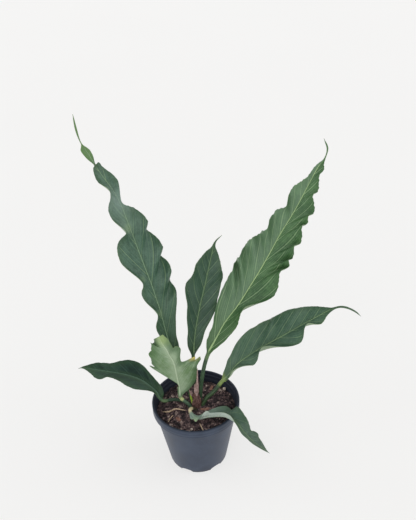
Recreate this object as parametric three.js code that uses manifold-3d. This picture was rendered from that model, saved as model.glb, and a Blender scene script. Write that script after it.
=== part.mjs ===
// Potted Anthurium hookeri: seven ruffled leaves on a short stem, in a 12 cm nursery pot.
// Millimetres, +Z up, with the origin under the middle of the pot and the viewer on the -Y side.

import * as THREE from "three";
import { ImprovedNoise } from "three/addons/math/ImprovedNoise.js";
import { mergeVertices } from "three/addons/utils/BufferGeometryUtils.js";
import Module from "manifold-3d";

const wasm = await Module();
wasm.setup();

// Driving dimensions of the pot
const POT_HEIGHT = 100;
const RIM_RADIUS = 60;
const LIP_HEIGHT = 12;
const LIP_THICKNESS = 3;
const NECK_RADIUS = 56;
const BASE_RADIUS = 40.5;
const WALL = 1.4;
const FLOOR = 1.8;
const POT_SIDES = 60;
const FOOT_COUNT = 6;
const NOTCH_WIDTH = 17;
const NOTCH_HEIGHT = 4.5;
const NOTCH_DEPTH = 5;
const FIRST_NOTCH = -114;

// Driving dimensions of the soil
const SOIL_AT_WALL = 84;
const SOIL_MOUND = 5;
const SOIL_RELIEF = 1.6;
const SOIL_RINGS = 15;
const SOIL_SIDES = 40;

// Driving dimensions of the plant
const STALK_RADIUS = 2.3;
const TIP_RADIUS = 0.9;
const BLADE_THICKNESS = 0.8;
const STEM_RADIUS = 7.5;
const STEM_BOTTOM = 62;
const STEM_TOP = 109;
const GAP = 0.3;

// How the rows of a blade are made: a row starts at this share of its lift beside the rib, and
// the rows slant and fade in over this length at both ends
const HINGE = 0.35;
const FADE = 25;
const RIB_SHARES = [0, 0.6, 0.92, 1];
const BLADE_SHARES = [0, 0.05, 0.45, 1];
const CELLS = RIB_SHARES.length - 1;

const PLASTIC = { color: 0x4b5361, roughness: 0.5 };
const PEAT = { color: 0x2e211d, roughness: 1 };
const BARK = { color: 0x5a4a35, roughness: 0.9 };
const PAPER = { color: 0x8a6f58, roughness: 0.9 };
const ROOT = { color: 0xa58c6c, roughness: 0.8 };
const PERLITE = { color: 0xd8d0c4, roughness: 1 };
const YOUNG = { color: 0x8a9c3c, roughness: 0.5 };

// The leaves. The first stalk point lies in the stem and the last is the blade's base, station 0.
// Each row of a side gives its station along the rib, its reach from the rib to the margin and
// its lift in degrees out of the plane that the face vector is square to.
const LEAVES = [
  {
    name: "leaf_tall_left",
    color: 0x5d7362,
    stalk: [[-4.8, 4.3, 84], [-9, 7, 110], [-23, 14, 153]],
    rib: [
      [-34, 22, 194], [-41, 30, 231], [-50, 38, 267], [-60, 46, 301], [-70, 53, 336], [-80, 59, 371],
      [-89, 64, 390], [-102, 68, 411], [-111, 70, 430], [-120, 71, 449], [-123, 72, 463], [-125, 75, 481],
    ],
    faces: [[0, 0.5, -0.75, 0.4], [351, 0.5, -0.75, 0.4]],
    left: [
      [0, STALK_RADIUS, 0], [22, 8, 15], [42, 17, 0], [66, 21, 48], [88, 26, -5], [107, 30, 38],
      [132, 42, -5], [156, 37, 0], [168, 32, 20], [178, 28, 50], [204, 28, -5], [240, 18, 50],
      [260, 14, 0], [278, 9, 30], [286, 1.8, 20], [292, 7, 0], [301, 9, 0], [317, 0.9, 0], [330, 1.7, 0],
      [343, 0.9, 0], [351, 0.7, 0],
    ],
    right: [
      [0, STALK_RADIUS, 0], [18, 16, 10], [49, 34, 15], [68, 41, 22], [79, 43, -8], [95, 47, 20],
      [111, 48, -18], [127, 47, 22], [155, 41, -22], [172, 37, 20], [194, 29, -15], [211, 16, -10],
      [229, 5, -10], [244, 18, 10], [270, 12.5, -8], [280, 9, 0], [286, 1.8, 0], [292, 6, 0], [298, 7, 0],
      [317, 0.9, 0], [330, 1.7, 0], [343, 0.9, 0], [351, 0.7, 0],
    ],
    slant: 50,
    stations: 54,
  },
  {
    name: "leaf_back",
    color: 0x4d6453,
    stalk: [[0.2, 6.5, 84], [0, 13, 115], [-1, 24, 156]],
    rib: [
      [3, 34, 189], [7, 40, 208], [13, 46, 233], [19, 52, 254], [24, 56, 275], [29, 60, 295],
      [34, 63, 311], [43, 67, 318],
    ],
    faces: [[0, 0.35, -1, 0.2], [176, 0.35, -1, 0.2]],
    left: [
      [0, STALK_RADIUS, 0], [19, 16, 18], [45, 35, 25], [71, 43, 8], [86, 41, 22], [111, 31, 12],
      [134, 19, 18], [155, 3.2, 0], [176, 0.7, 0],
    ],
    right: [
      [0, STALK_RADIUS, 0], [17, 15, 15], [35, 32, 18], [64, 33, 22], [84, 34, 5], [110, 26, 20],
      [135, 15, 5], [158, 3, 0], [176, 0.7, 0],
    ],
    slant: 50,
    stations: 24,
  },
  {
    name: "leaf_large_right",
    color: 0x507355,
    stalk: [[5.1, 4, 84], [8, 6, 118], [13, 8, 149], [19, 12, 168]],
    rib: [
      [32, 20, 191], [43, 26, 209], [61, 34, 231], [76, 42, 252], [96, 54, 281], [117, 66, 316],
      [138, 78, 347], [153, 86, 374], [166, 92, 397], [173, 95, 405], [176, 96, 418], [171, 97, 431],
    ],
    faces: [[0, -0.5, -0.8, 0.3], [323, -0.5, -0.8, 0.3]],
    left: [
      [0, 2.7, 0], [14, 12, 12], [28, 22, 25], [42, 34, 10], [53, 47, 0], [73, 54, 28],
      [85, 55, 2], [97, 51, 30], [109, 54, 2], [128, 47, 20], [144, 39, 0], [163, 32, 48],
      [181, 33, 0], [205, 22, 45], [219, 28, 0], [242, 18, 25], [261, 9, 30], [274, 7, 0],
      [293, 1.8, 0], [310, 1.2, 0], [323, 0.7, 0],
    ],
    right: [
      [0, 2.7, 0], [12, 8, 10], [21, 20, 0], [40, 33, 30], [60, 33, 55], [82, 50, 0],
      [111, 49, 30], [123, 46, 0], [129, 47, 22], [135, 44, 0], [148, 47, 28], [156, 45, 0],
      [180, 41, 30], [187, 37, 5], [197, 37, 25], [205, 35, 0], [233, 24, 32], [239, 23, 0],
      [266, 14, 30], [273, 13, 0], [293, 2, 0], [310, 1.2, 0], [323, 0.7, 0],
    ],
    slant: 50,
    stations: 54,
  },
  {
    name: "leaf_right_arching",
    color: 0x4b624f,
    stalk: [[6, -2.4, 84], [15, 3, 99], [25, 7, 106], [37, 14, 118]],
    rib: [
      [47, 16, 127], [56, 19, 140], [77, 21, 158], [103, 22, 176], [131, 24, 193], [157, 27, 208],
      [180, 30, 220], [192, 31, 224], [202, 32, 222], [215, 33, 214], [223, 33, 206],
    ],
    faces: [[0, -0.3, -0.4, 0.85], [228, -0.3, -0.4, 0.85]],
    left: [
      [0, 2.7, 0], [8, 9, 25], [18, 17, 30], [25, 23, 22], [31, 38, 8], [54, 43, 22], [68, 45, 8],
      [78, 43, 20], [86, 45, 8], [118, 35, 20], [146, 23, 5], [168, 10, 5], [182, 2.8, 0], [199, 2.4, 0],
      [228, 0.7, 0],
    ],
    right: [
      [0, 2.7, 0], [8, 8, 40], [16, 14, 60], [29, 28, 0], [40, 28, 15], [60, 29, 60], [99, 32, -5],
      [128, 24, 56], [149, 18, 0], [168, 8, 5], [182, 2.8, 0], [199, 2.4, 0], [228, 0.7, 0],
    ],
    slant: 50,
    stations: 34,
  },
  {
    name: "leaf_front_drooping",
    color: 0x617368,
    stalk: [[2, -6.2, 84], [-4.5, -11, 94], [-8, -17, 97]],
    rib: [
      [-5, -24, 95], [1, -29, 94], [7, -30, 95], [15, -31, 98], [27, -34, 102], [38, -40, 107],
      [47, -49, 110], [54, -58, 110], [61, -66, 104], [66, -69, 99], [72, -72, 93], [83, -74, 83],
      [94, -74, 72],
    ],
    faces: [[0, 0, 0.3, 0.95], [45, 0, 0.3, 0.95], [90, 0.4, 0.1, 0.9], [141, 0.5, 0.1, 0.85]],
    left: [
      [0, STALK_RADIUS, 0], [8, 3, 10], [24, 9, 20], [44, 20, 15], [52, 17, 5], [59, 20, 32],
      [67, 18.5, 20], [76, 17, 12], [85, 15.5, 10], [93, 15, 5], [103, 20, 10], [112, 15, 12],
      [130, 8, 5], [141, 0.7, 0],
    ],
    right: [
      [0, STALK_RADIUS, 0], [6, 3, -20], [10, 5.5, -30], [15, 6.5, -25], [19, 3, -10], [24, 7, 70],
      [30, 9, 85], [34, 5, 90], [60, 5, 85], [72, 7, 50], [88, 7, 10], [105, 6, 5], [125, 3.5, 5],
      [141, 0.7, 0],
    ],
    slant: 25,
    stations: 34,
  },
  {
    name: "leaf_left_low",
    color: 0x394d42,
    stalk: [[-6.4, -0.9, 84], [-16, 0, 97], [-30, 0, 101], [-45, -1, 101]],
    rib: [
      [-54, 5, 113], [-71, 12, 126], [-83, 16, 130], [-94, 18, 133], [-109, 21, 135], [-124, 23, 137],
      [-139, 26, 138], [-153, 30, 138], [-160, 31, 136],
    ],
    faces: [[0, 0.2, -0.3, 0.9], [132, 0.2, -0.3, 0.9]],
    left: [
      [0, STALK_RADIUS, 0], [16, 7, 30], [26, 17, 10], [35, 22, 5], [78, 15, 25], [90, 16, 0],
      [110, 7, 5], [122, 2.2, 0], [132, 0.7, 0],
    ],
    right: [
      [0, STALK_RADIUS, 0], [6, 7, 20], [12, 9.5, 20], [30, 17, 12], [48, 26, 5], [66, 20, 15],
      [84, 13, 22], [96, 13, 5], [112, 8, 5], [124, 2.4, 0], [132, 0.7, 0],
    ],
    slant: 30,
    stations: 26,
  },
  {
    name: "leaf_pale_torn",
    color: 0x7f8f7b,
    stalk: [[-3.4, -5.5, 84], [-10, -5.5, 97], [-20, -4, 108]],
    rib: [
      [-21, -3, 128], [-23, -5, 150], [-24, -8, 166], [-26, -9, 178], [-30, -10, 189], [-33, -10, 198],
      [-38, -7, 206], [-42, -2, 213],
    ],
    faces: [[0, 0, 1, 0.3], [113, 0, 1, 0.3]],
    left: [
      [0, 2.5, 0], [6, 6, 5], [12, 19, 12], [20, 33, 12], [28, 39, 10], [32, 46, 10], [36, 46, 12],
      [39, 36, 12], [49, 36, 10], [53, 20, 15], [60, 12, 15], [67, 14, 15], [73, 21, 15], [79, 16, 25],
      [84, 10, 20], [98, 10, 20], [113, 6, 10],
    ],
    right: [
      [0, 2.5, 0], [16, 3, 5], [24, 6, 5], [28, 40, 8], [31, 44, 8], [34, 35, 8], [37, 40, 10],
      [44, 40, 12], [52, 43, 12], [60, 38.5, 14], [66, 34, 15], [84, 25, 15], [98, 22, 20], [113, 14, 25],
    ],
    slant: 40,
    stations: 34,
  },
];

// Small blades round the crown, made as the leaves are: two dry sheaths and a rolled young leaf
const SHEATHS = [
  {
    name: "sheath_front",
    color: PAPER.color,
    stalk: [[1.5, -1, 104], [1.4, -1.2, 108.5]],
    rib: [[1.5, -1.5, 114], [2, -1.5, 121], [3.2, -1.5, 131], [4.6, -1.5, 157]],
    faces: [[0, -0.2, 1, 0], [49, 0.2, 1, 0]],
    left: [[0, 1.4, 0], [6, 4.6, 35], [14, 4.2, 45], [21, 2, 40], [27, 1.2, 30], [49, 0.8, 0]],
    right: [[0, 1.4, 0], [7, 3.6, 40], [15, 4.2, 45], [22, 1.8, 40], [28, 1.1, 30], [49, 0.8, 0]],
    slant: 25,
    stations: 18,
  },
  {
    name: "sheath_left",
    color: PAPER.color,
    stalk: [[-4.6, 1.3, 101], [-5.8, 1.5, 106]],
    rib: [[-6.6, 1.7, 110.5], [-8.8, 1.8, 117]],
    faces: [[0, 0.2, 1, 0], [12, 0.2, 1, 0.2]],
    left: [[0, 1.2, 0], [4, 2.6, 35], [8, 1.9, 35], [12, 0.7, 0]],
    right: [[0, 1.2, 0], [4, 2.4, 35], [8, 1.7, 35], [12, 0.7, 0]],
    slant: 20,
    stations: 8,
  },
];
const SHOOT = {
  name: "shoot_young",
  color: YOUNG.color,
  stalk: [[-4.2, -3.4, 95], [-4.8, -4, 99]],
  rib: [[-6, -4.2, 107], [-7.6, -4.4, 115]],
  faces: [[0, 0, -1, 0.2], [16, 0, -1, 0.2]],
  left: [[0, 1.4, 0], [8, 1.4, 0], [16, 0.6, 0]],
  right: [[0, 1.4, 0], [8, 1.4, 0], [16, 0.6, 0]],
  slant: 0,
  stations: 8,
};

// Bare roots on the soil, as routes seen from above with the height of their middle
const ROOTS = [
  {
    name: "root_left_long",
    radius: 1.1,
    route: [[-46, -9, 87.6], [-37, -10.5, 89], [-28, -7, 90.2], [-20, -8.5, 89.8], [-13, -10, 89.2]],
  },
  {
    name: "root_left_short",
    radius: 0.9,
    route: [[-38, -28, 87], [-34, -21, 88.6], [-31, -16, 88]],
  },
  {
    name: "root_front",
    radius: 0.8,
    route: [[4.5, -33, 87.8], [7.5, -41, 88.2], [10.5, -49, 86.6]],
  },
];

// Chips and grains half sunk in the soil: size, place and turn in degrees
const CHIPS = [
  { name: "bark_chip_right", size: [15, 4, 2.4], place: [12.2, -8.5, 89], turn: 6 },
  { name: "bark_chip_left", size: [9, 4.5, 2.2], place: [-24, -24, 88], turn: -50 },
  { name: "bark_chip_back", size: [10, 3.6, 2.2], place: [22, 34, 87.5], turn: 70 },
];
const GRAINS = [
  { name: "perlite_right", radius: 2.4, place: [40, 32, 87] },
  { name: "perlite_front", radius: 1.7, place: [-6, -42, 87] },
];

const vector = ([x, y, z]) => new THREE.Vector3(x, y, z);
const radians = THREE.MathUtils.degToRad;

function mesh(name, geometry, { color, roughness }) {
  const material = new THREE.MeshStandardMaterial({ color, roughness, metalness: 0 });
  const result = new THREE.Mesh(geometry, material);
  result.name = name;
  return result;
}

// Closed geometry to a solid for a boolean, and back
function solidOf(geometry) {
  const bare = geometry.clone();
  bare.deleteAttribute("normal");
  bare.deleteAttribute("uv");
  const merged = mergeVertices(bare, 1e-4);
  return new wasm.Manifold(new wasm.Mesh({
    numProp: 3,
    vertProperties: Float32Array.from(merged.attributes.position.array),
    triVerts: Uint32Array.from(merged.index.array),
  }));
}

function geometryOf(solid) {
  const { vertProperties, triVerts } = solid.getMesh();
  const geometry = new THREE.BufferGeometry();
  geometry.setAttribute("position", new THREE.BufferAttribute(vertProperties, 3));
  geometry.setIndex(new THREE.BufferAttribute(triVerts, 1));
  return geometry;
}

// A round rod along a route of points
function rod(route, radius, sides = 8) {
  const outline = new THREE.Shape();
  for (let i = 0; i < sides; i++) {
    const turn = (2 * Math.PI * i) / sides;
    const [x, y] = [radius * Math.cos(turn), radius * Math.sin(turn)];
    if (i === 0) outline.moveTo(x, y);
    else outline.lineTo(x, y);
  }
  const path = new THREE.CatmullRomCurve3(route.map(vector));
  const steps = 4 * (route.length - 1);
  return new THREE.ExtrudeGeometry(outline, { steps, extrudePath: path, curveSegments: 1 });
}

// A value list between table rows [station, ...values]: level at each high and low, held past the ends
function between(rows, station) {
  const last = rows.length - 1;
  const s = THREE.MathUtils.clamp(station, rows[0][0], rows[last][0]);
  const i = Math.max(rows.findIndex((row) => row[0] >= s), 1) - 1;
  const rise = (k, column) => (rows[k + 1][column] - rows[k][column]) / (rows[k + 1][0] - rows[k][0]);
  const slope = (k, column) => {
    if (k === 0 || k === last) return 0;
    const [before, after] = [rise(k - 1, column), rise(k, column)];
    return before * after <= 0 ? 0 : (before + after) / 2;
  };
  const span = rows[i + 1][0] - rows[i][0];
  const t = (s - rows[i][0]) / span;
  const ease = t * t * (3 - 2 * t);
  const value = (column) => rows[i][column] * (1 - ease) + rows[i + 1][column] * ease
    + span * (slope(i, column) * t * (1 - t) ** 2 - slope(i + 1, column) * t * t * (1 - t));
  return rows[0].slice(1).map((_, column) => value(column + 1));
}

// The rib of a blade as a curve, with the length of the stalk before station 0
function ribLine({ stalk, rib }) {
  const line = new THREE.CatmullRomCurve3([...stalk, ...rib].map(vector));
  const steps = 40;
  line.arcLengthDivisions = steps * (stalk.length + rib.length - 1);
  const stalkLength = line.getLengths()[steps * (stalk.length - 1)];
  return { line, stalkLength, bladeLength: line.getLength() - stalkLength };
}

// One row of points across a blade at a station, from the right margin to the left one, with
// each point's distance from the rib and the rib's radius
function bladeRow(blade, { line, stalkLength, bladeLength }, station) {
  const share = THREE.MathUtils.clamp((station + stalkLength) / (stalkLength + bladeLength), 0, 1);
  const middle = line.getPointAt(share);
  const along = line.getTangentAt(share);
  const face = vector(between(blade.faces, station));
  const up = face.addScaledVector(along, -face.dot(along)).normalize();
  const leftward = new THREE.Vector3().crossVectors(up, along);
  const fade = (length) => THREE.MathUtils.smoothstep(length, 0, FADE);
  const slant = radians(blade.slant) * fade(station) * fade(bladeLength - station);
  const taper = THREE.MathUtils.clamp(station / bladeLength, 0, 1);
  const thickest = THREE.MathUtils.lerp(blade.left[0][1], TIP_RADIUS, taper);
  return Array.from({ length: 2 * CELLS + 1 }, (_, i) => {
    const cell = i - CELLS;
    const [reach, lift] = between(cell > 0 ? blade.left : blade.right, station);
    const ribRadius = Math.min(thickest, reach);
    const step = Math.abs(cell);
    const distance = ribRadius * RIB_SHARES[step] + (reach - ribRadius) * BLADE_SHARES[step];
    const angle = radians(lift) * (HINGE + (1 - HINGE) * (distance / reach));
    const outward = distance * Math.cos(slant);
    const point = middle.clone()
      .addScaledVector(along, distance * Math.sin(slant))
      .addScaledVector(leftward, Math.sign(cell) * outward * Math.cos(angle))
      .addScaledVector(up, outward * Math.sin(angle));
    const thick = Math.sqrt(Math.max(ribRadius ** 2 - distance ** 2, 0));
    return { point, half: Math.max(thick, BLADE_THICKNESS / 2) };
  });
}

// The upward normal of a grid point, from its neighbours
function gridNormal(rows, i, k) {
  const before = rows[Math.max(i - 1, 0)][k].point;
  const after = rows[Math.min(i + 1, rows.length - 1)][k].point;
  const rightward = rows[i][Math.max(k - 1, 0)].point;
  const leftward = rows[i][Math.min(k + 1, rows[i].length - 1)].point;
  const across = leftward.clone().sub(rightward);
  const along = after.clone().sub(before);
  return along.cross(across).normalize();
}

// A closed blade with its stalk: an upper and a lower skin over one grid, split alike, with the
// margins and both ends walled
function bladeGeometry(blade) {
  const rib = ribLine(blade);
  const total = rib.stalkLength + rib.bladeLength;
  const rows = Array.from({ length: blade.stations + 1 }, (_, i) => (
    bladeRow(blade, rib, (total * i) / blade.stations - rib.stalkLength)));
  const width = rows[0].length;
  const positions = [];
  for (const sign of [1, -1]) {
    rows.forEach((row, i) => row.forEach(({ point, half }, k) => {
      const normal = gridNormal(rows, i, k);
      positions.push(...point.clone().addScaledVector(normal, sign * half).toArray());
    }));
  }
  const upper = (i, k) => i * width + k;
  const lower = (i, k) => (rows.length + i) * width + k;
  const index = [];
  const quad = (a, b, c, d) => index.push(a, b, c, a, c, d);
  for (let i = 0; i < rows.length - 1; i++) {
    for (let k = 0; k < width - 1; k++) {
      quad(upper(i, k), upper(i + 1, k), upper(i + 1, k + 1), upper(i, k + 1));
      index.push(lower(i, k), lower(i + 1, k + 1), lower(i + 1, k));
      index.push(lower(i, k), lower(i, k + 1), lower(i + 1, k + 1));
    }
    quad(lower(i, 0), lower(i + 1, 0), upper(i + 1, 0), upper(i, 0));
    quad(upper(i, width - 1), upper(i + 1, width - 1), lower(i + 1, width - 1), lower(i, width - 1));
  }
  const tip = rows.length - 1;
  for (let k = 0; k < width - 1; k++) {
    quad(upper(0, k), upper(0, k + 1), lower(0, k + 1), lower(0, k));
    quad(lower(tip, k), lower(tip, k + 1), upper(tip, k + 1), upper(tip, k));
  }
  const geometry = new THREE.BufferGeometry();
  geometry.setAttribute("position", new THREE.Float32BufferAttribute(positions, 3));
  geometry.setIndex(index);
  return geometry;
}

// Radius of the pot's wall at a height, outside and inside
const NECK = POT_HEIGHT - LIP_HEIGHT;
const wallRadius = (z) => THREE.MathUtils.mapLinear(z, 0, NECK, BASE_RADIUS, NECK_RADIUS);
const insideRadius = (z) => wallRadius(z) - WALL;

// The pot: tapered wall, a lip that stands out at the top and six notches that leave feet
function potSolid() {
  const lipInside = RIM_RADIUS - LIP_THICKNESS;
  const profile = [
    [0, 0], [BASE_RADIUS - 1, 0], [wallRadius(1), 1], [wallRadius(NECK - 1), NECK - 1],
    [NECK_RADIUS + 0.4, NECK], [RIM_RADIUS - 1, NECK], [RIM_RADIUS - 0.4, NECK + 0.8],
    [RIM_RADIUS - 0.3, POT_HEIGHT - 1], [RIM_RADIUS - 0.6, POT_HEIGHT - 0.3],
    [RIM_RADIUS - 1.2, POT_HEIGHT], [lipInside + 0.6, POT_HEIGHT], [lipInside, POT_HEIGHT - 0.6],
    [lipInside - 0.3, POT_HEIGHT - 5], [lipInside - 1.1, POT_HEIGHT - 5.6],
    [lipInside - 1.4, NECK + 2], [insideRadius(NECK), NECK], [insideRadius(FLOOR + 1), FLOOR + 1],
    [insideRadius(FLOOR) - 1, FLOOR], [0, FLOOR],
  ];
  const body = new THREE.LatheGeometry(profile.map(([r, z]) => new THREE.Vector2(r, z)), POT_SIDES);
  body.rotateX(Math.PI / 2);
  let solid = solidOf(body);
  for (let i = 0; i < FOOT_COUNT; i++) {
    const cutter = new THREE.CylinderGeometry(NOTCH_HEIGHT, NOTCH_HEIGHT, 2 * NOTCH_DEPTH, 16);
    cutter.scale(NOTCH_WIDTH / 2 / NOTCH_HEIGHT, 1, 1);
    cutter.translate(0, BASE_RADIUS, 0);
    cutter.rotateZ(radians(FIRST_NOTCH + (360 / FOOT_COUNT) * i) - Math.PI / 2);
    solid = solid.subtract(solidOf(cutter));
  }
  return solid;
}

const noise = new ImprovedNoise();

// Height of the soil at a point: a low mound with coarse crumbs
function soilHeight(x, y) {
  const out = Math.hypot(x, y) / insideRadius(SOIL_AT_WALL);
  const crumbs = noise.noise(x / 7, y / 7, 3) + 0.6 * noise.noise(x / 3.5, y / 3.5, 8);
  return SOIL_AT_WALL + SOIL_MOUND * (1 - out * out) + SOIL_RELIEF * crumbs;
}

// The soil: a plug that fills the pot to below its rim, under a crumbled surface
function soilSolid() {
  const bottom = FLOOR + GAP;
  const radiusAt = (z) => insideRadius(z) - GAP;
  const positions = [0, 0, soilHeight(0, 0), 0, 0, bottom];
  const ring = (r, z) => {
    for (let k = 0; k < SOIL_SIDES; k++) {
      const turn = (2 * Math.PI * k) / SOIL_SIDES;
      const [x, y] = [r * Math.cos(turn), r * Math.sin(turn)];
      positions.push(x, y, z ?? soilHeight(x, y));
    }
  };
  for (let i = 1; i <= SOIL_RINGS; i++) ring((radiusAt(SOIL_AT_WALL - 2) * i) / SOIL_RINGS);
  ring(radiusAt(bottom + 1.5) - 1.5, bottom);
  const at = (i, k) => 2 + (i - 1) * SOIL_SIDES + (k % SOIL_SIDES);
  const index = [];
  for (let k = 0; k < SOIL_SIDES; k++) {
    index.push(0, at(1, k), at(1, k + 1));
    index.push(1, at(SOIL_RINGS + 1, k + 1), at(SOIL_RINGS + 1, k));
    for (let i = 1; i <= SOIL_RINGS; i++) {
      index.push(at(i, k), at(i + 1, k), at(i + 1, k + 1), at(i, k), at(i + 1, k + 1), at(i, k + 1));
    }
  }
  const geometry = new THREE.BufferGeometry();
  geometry.setAttribute("position", new THREE.Float32BufferAttribute(positions, 3));
  geometry.setIndex(index);
  return solidOf(geometry);
}

// The short stem, or its hole in the soil when it is grown by a clearance
function stemSolid(clearance = 0) {
  const radius = STEM_RADIUS + clearance;
  const profile = [
    [0, STEM_BOTTOM - clearance], [radius - 3, STEM_BOTTOM - clearance], [radius, STEM_BOTTOM + 4],
    [radius, STEM_TOP - 13], [radius - 0.6, STEM_TOP - 7], [radius - 2.2, STEM_TOP - 3],
    [radius - 4.8, STEM_TOP - 0.8 + clearance], [0, STEM_TOP + clearance],
  ];
  const body = new THREE.LatheGeometry(profile.map(([r, z]) => new THREE.Vector2(r, z)), 24);
  body.rotateX(Math.PI / 2);
  return solidOf(body);
}

// A leaf's stalk grown by the clearance, to cut its socket
function stalkCutter({ stalk, rib, left }) {
  const route = [...stalk, rib[0]];
  const back = vector(stalk[0]).sub(vector(stalk[1])).setLength(GAP);
  route[0] = vector(stalk[0]).add(back).toArray();
  return solidOf(rod(route, left[0][1] + GAP, 12));
}

function chipGeometry({ size, place, turn }, clearance = 0) {
  const [length, width, height] = size.map((value) => value + 2 * clearance);
  const chip = new THREE.CylinderGeometry(width * 0.42, width / 2, length, 6);
  chip.rotateZ(Math.PI / 2);
  chip.scale(1, 1, height / width);
  chip.rotateZ(radians(turn));
  return chip.translate(...place);
}

function grainGeometry({ radius, place }, clearance = 0) {
  const grain = new THREE.IcosahedronGeometry(radius + clearance, 1);
  return grain.translate(...place);
}

const plant = new THREE.Group();
const crown = [...SHEATHS, SHOOT];
let stem = stemSolid();
let soil = soilSolid().subtract(stemSolid(GAP));
for (const blade of [...LEAVES, ...crown]) {
  const cutter = stalkCutter(blade);
  stem = stem.subtract(cutter);
  soil = soil.subtract(cutter);
  plant.add(mesh(blade.name, bladeGeometry(blade), { color: blade.color, roughness: 0.5 }));
}
for (const root of ROOTS) {
  soil = soil.subtract(solidOf(rod(root.route, root.radius + GAP)));
  plant.add(mesh(root.name, rod(root.route, root.radius), ROOT));
}
for (const chip of CHIPS) {
  soil = soil.subtract(solidOf(chipGeometry(chip, GAP)));
  plant.add(mesh(chip.name, chipGeometry(chip), BARK));
}
for (const grain of GRAINS) {
  soil = soil.subtract(solidOf(grainGeometry(grain, GAP)));
  plant.add(mesh(grain.name, grainGeometry(grain), PERLITE));
}
plant.add(mesh("stem", geometryOf(stem), BARK));
plant.add(mesh("soil", geometryOf(soil), PEAT));
plant.add(mesh("pot", geometryOf(potSolid()), PLASTIC));

export default plant;
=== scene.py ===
# %% [markdown]
# # A potted Anthurium hookeri
# A bird's-nest anthurium: seven long, leathery, ruffled leaves rise from one short stem in a
# plain nursery pot. The construction comes from the imported part, and this lesson dresses it. Each
# leaf is rebuilt finely from a rib and two margins, and each finish is made from nodes alone.
# First the part is loaded as a fixed frame. Nothing that is made here may outgrow it.

# %% The fixed frame
import math
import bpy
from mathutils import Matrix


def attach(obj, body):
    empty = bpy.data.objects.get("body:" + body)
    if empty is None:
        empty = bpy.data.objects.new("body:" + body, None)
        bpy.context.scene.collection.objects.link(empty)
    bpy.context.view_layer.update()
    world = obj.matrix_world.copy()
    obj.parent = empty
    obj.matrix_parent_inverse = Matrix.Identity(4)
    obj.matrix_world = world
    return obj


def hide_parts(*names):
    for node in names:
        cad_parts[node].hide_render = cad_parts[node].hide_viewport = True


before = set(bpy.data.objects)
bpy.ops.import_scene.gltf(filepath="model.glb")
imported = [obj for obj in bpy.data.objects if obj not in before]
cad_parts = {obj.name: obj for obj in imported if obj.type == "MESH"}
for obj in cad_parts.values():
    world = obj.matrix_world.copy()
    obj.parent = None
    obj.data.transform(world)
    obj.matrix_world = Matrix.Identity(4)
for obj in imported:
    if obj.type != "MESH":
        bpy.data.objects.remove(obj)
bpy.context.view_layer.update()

from types import SimpleNamespace

import bmesh
import bpy
import numpy as np
from mathutils import Matrix, Vector, noise

MM = 0.001

# %% [markdown]
# ## The camera
# The photograph was taken from about 0.9 m away, looking a third of the way down, so the rim of
# the pot is a wide ellipse and the near leaf looks larger than it is. A camera is three turned
# axes and a place, so it is set here from its tilt and its small roll rather than by aiming it.

# %% The camera
CAMERA_PLACE = (0.024, -0.640, 0.725)
CAMERA_TILT = math.radians(32.1)
CAMERA_ROLL = math.radians(-2.2)
FOCAL_PIXELS = 640
PICTURE_HEIGHT = 520
SENSOR = 36


def add_object(name, data):
    """An object that shows the data, linked to the scene."""
    made = bpy.data.objects.new(name, data)
    bpy.context.scene.collection.objects.link(made)
    return made


ahead = Vector((0, math.cos(CAMERA_TILT), -math.sin(CAMERA_TILT)))
level_up = Vector((0, math.sin(CAMERA_TILT), math.cos(CAMERA_TILT)))
right = Vector((1, 0, 0)) * math.cos(CAMERA_ROLL) + level_up * math.sin(CAMERA_ROLL)
up = level_up * math.cos(CAMERA_ROLL) - Vector((1, 0, 0)) * math.sin(CAMERA_ROLL)

lens = bpy.data.cameras.new("camera")
lens.sensor_width = SENSOR
lens.lens = SENSOR * FOCAL_PIXELS / PICTURE_HEIGHT
camera = add_object("camera", lens)
camera.matrix_world = Matrix.Translation(CAMERA_PLACE) @ Matrix((right, up, -ahead)).transposed().to_4x4()
bpy.context.scene.camera = camera
print("lens, mm:", round(lens.lens, 1))

# %% [markdown]
# ## Finishes as sums
# A finish is a small network of nodes. Wiring it by hand hides the idea behind it, so one class
# wraps a socket and lets Python's own operators add the Math nodes: a mask is then written as it
# would be on paper. Colours are blended by a Mix node, since a Math node would turn them grey.

# %% A socket that does maths
class Wire:
    """One socket of a finish. Sums on it add Math nodes, and node() adds any node."""

    def __init__(self, tree, socket=None):
        self.tree = tree
        self.socket = socket

    def node(self, kind, settings=None, inputs=None, output=0):
        made = self.tree.nodes.new("ShaderNode" + kind)
        for name, value in (settings or {}).items():
            if name == "stops":
                set_stops(made.color_ramp, value)
            else:
                setattr(made, name, value)
        for name, value in (inputs or {}).items():
            if isinstance(value, Wire):
                self.tree.links.new(value.socket, made.inputs[name])
            else:
                made.inputs[name].default_value = value
        return Wire(self.tree, made.outputs[output])

    def maths(self, operation, *values):
        return self.node("Math", {"operation": operation}, dict(enumerate(values)))

    def __add__(self, other):
        return self.maths("ADD", self, other)

    def __sub__(self, other):
        return self.maths("SUBTRACT", self, other)

    def __rsub__(self, other):
        return self.maths("SUBTRACT", other, self)

    def __mul__(self, other):
        return self.maths("MULTIPLY", self, other)

    def __abs__(self):
        return self.maths("ABSOLUTE", self)

    __radd__ = __add__
    __rmul__ = __mul__

    def fraction(self):
        """What is left over the last whole number."""
        return self.maths("FRACT", self)

    def rise(self, low, high):
        """0 below low, 1 above high and a soft step between them."""
        edges = {"Value": self, "From Min": low, "From Max": high}
        return self.node("MapRange", {"interpolation_type": "SMOOTHSTEP"}, edges)

    def blend(self, first, second):
        """The first colour where this mask is 0 and the second where it is 1."""
        return self.node("Mix", {"data_type": "RGBA"}, {0: self, 6: first, 7: second}, 2)


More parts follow.
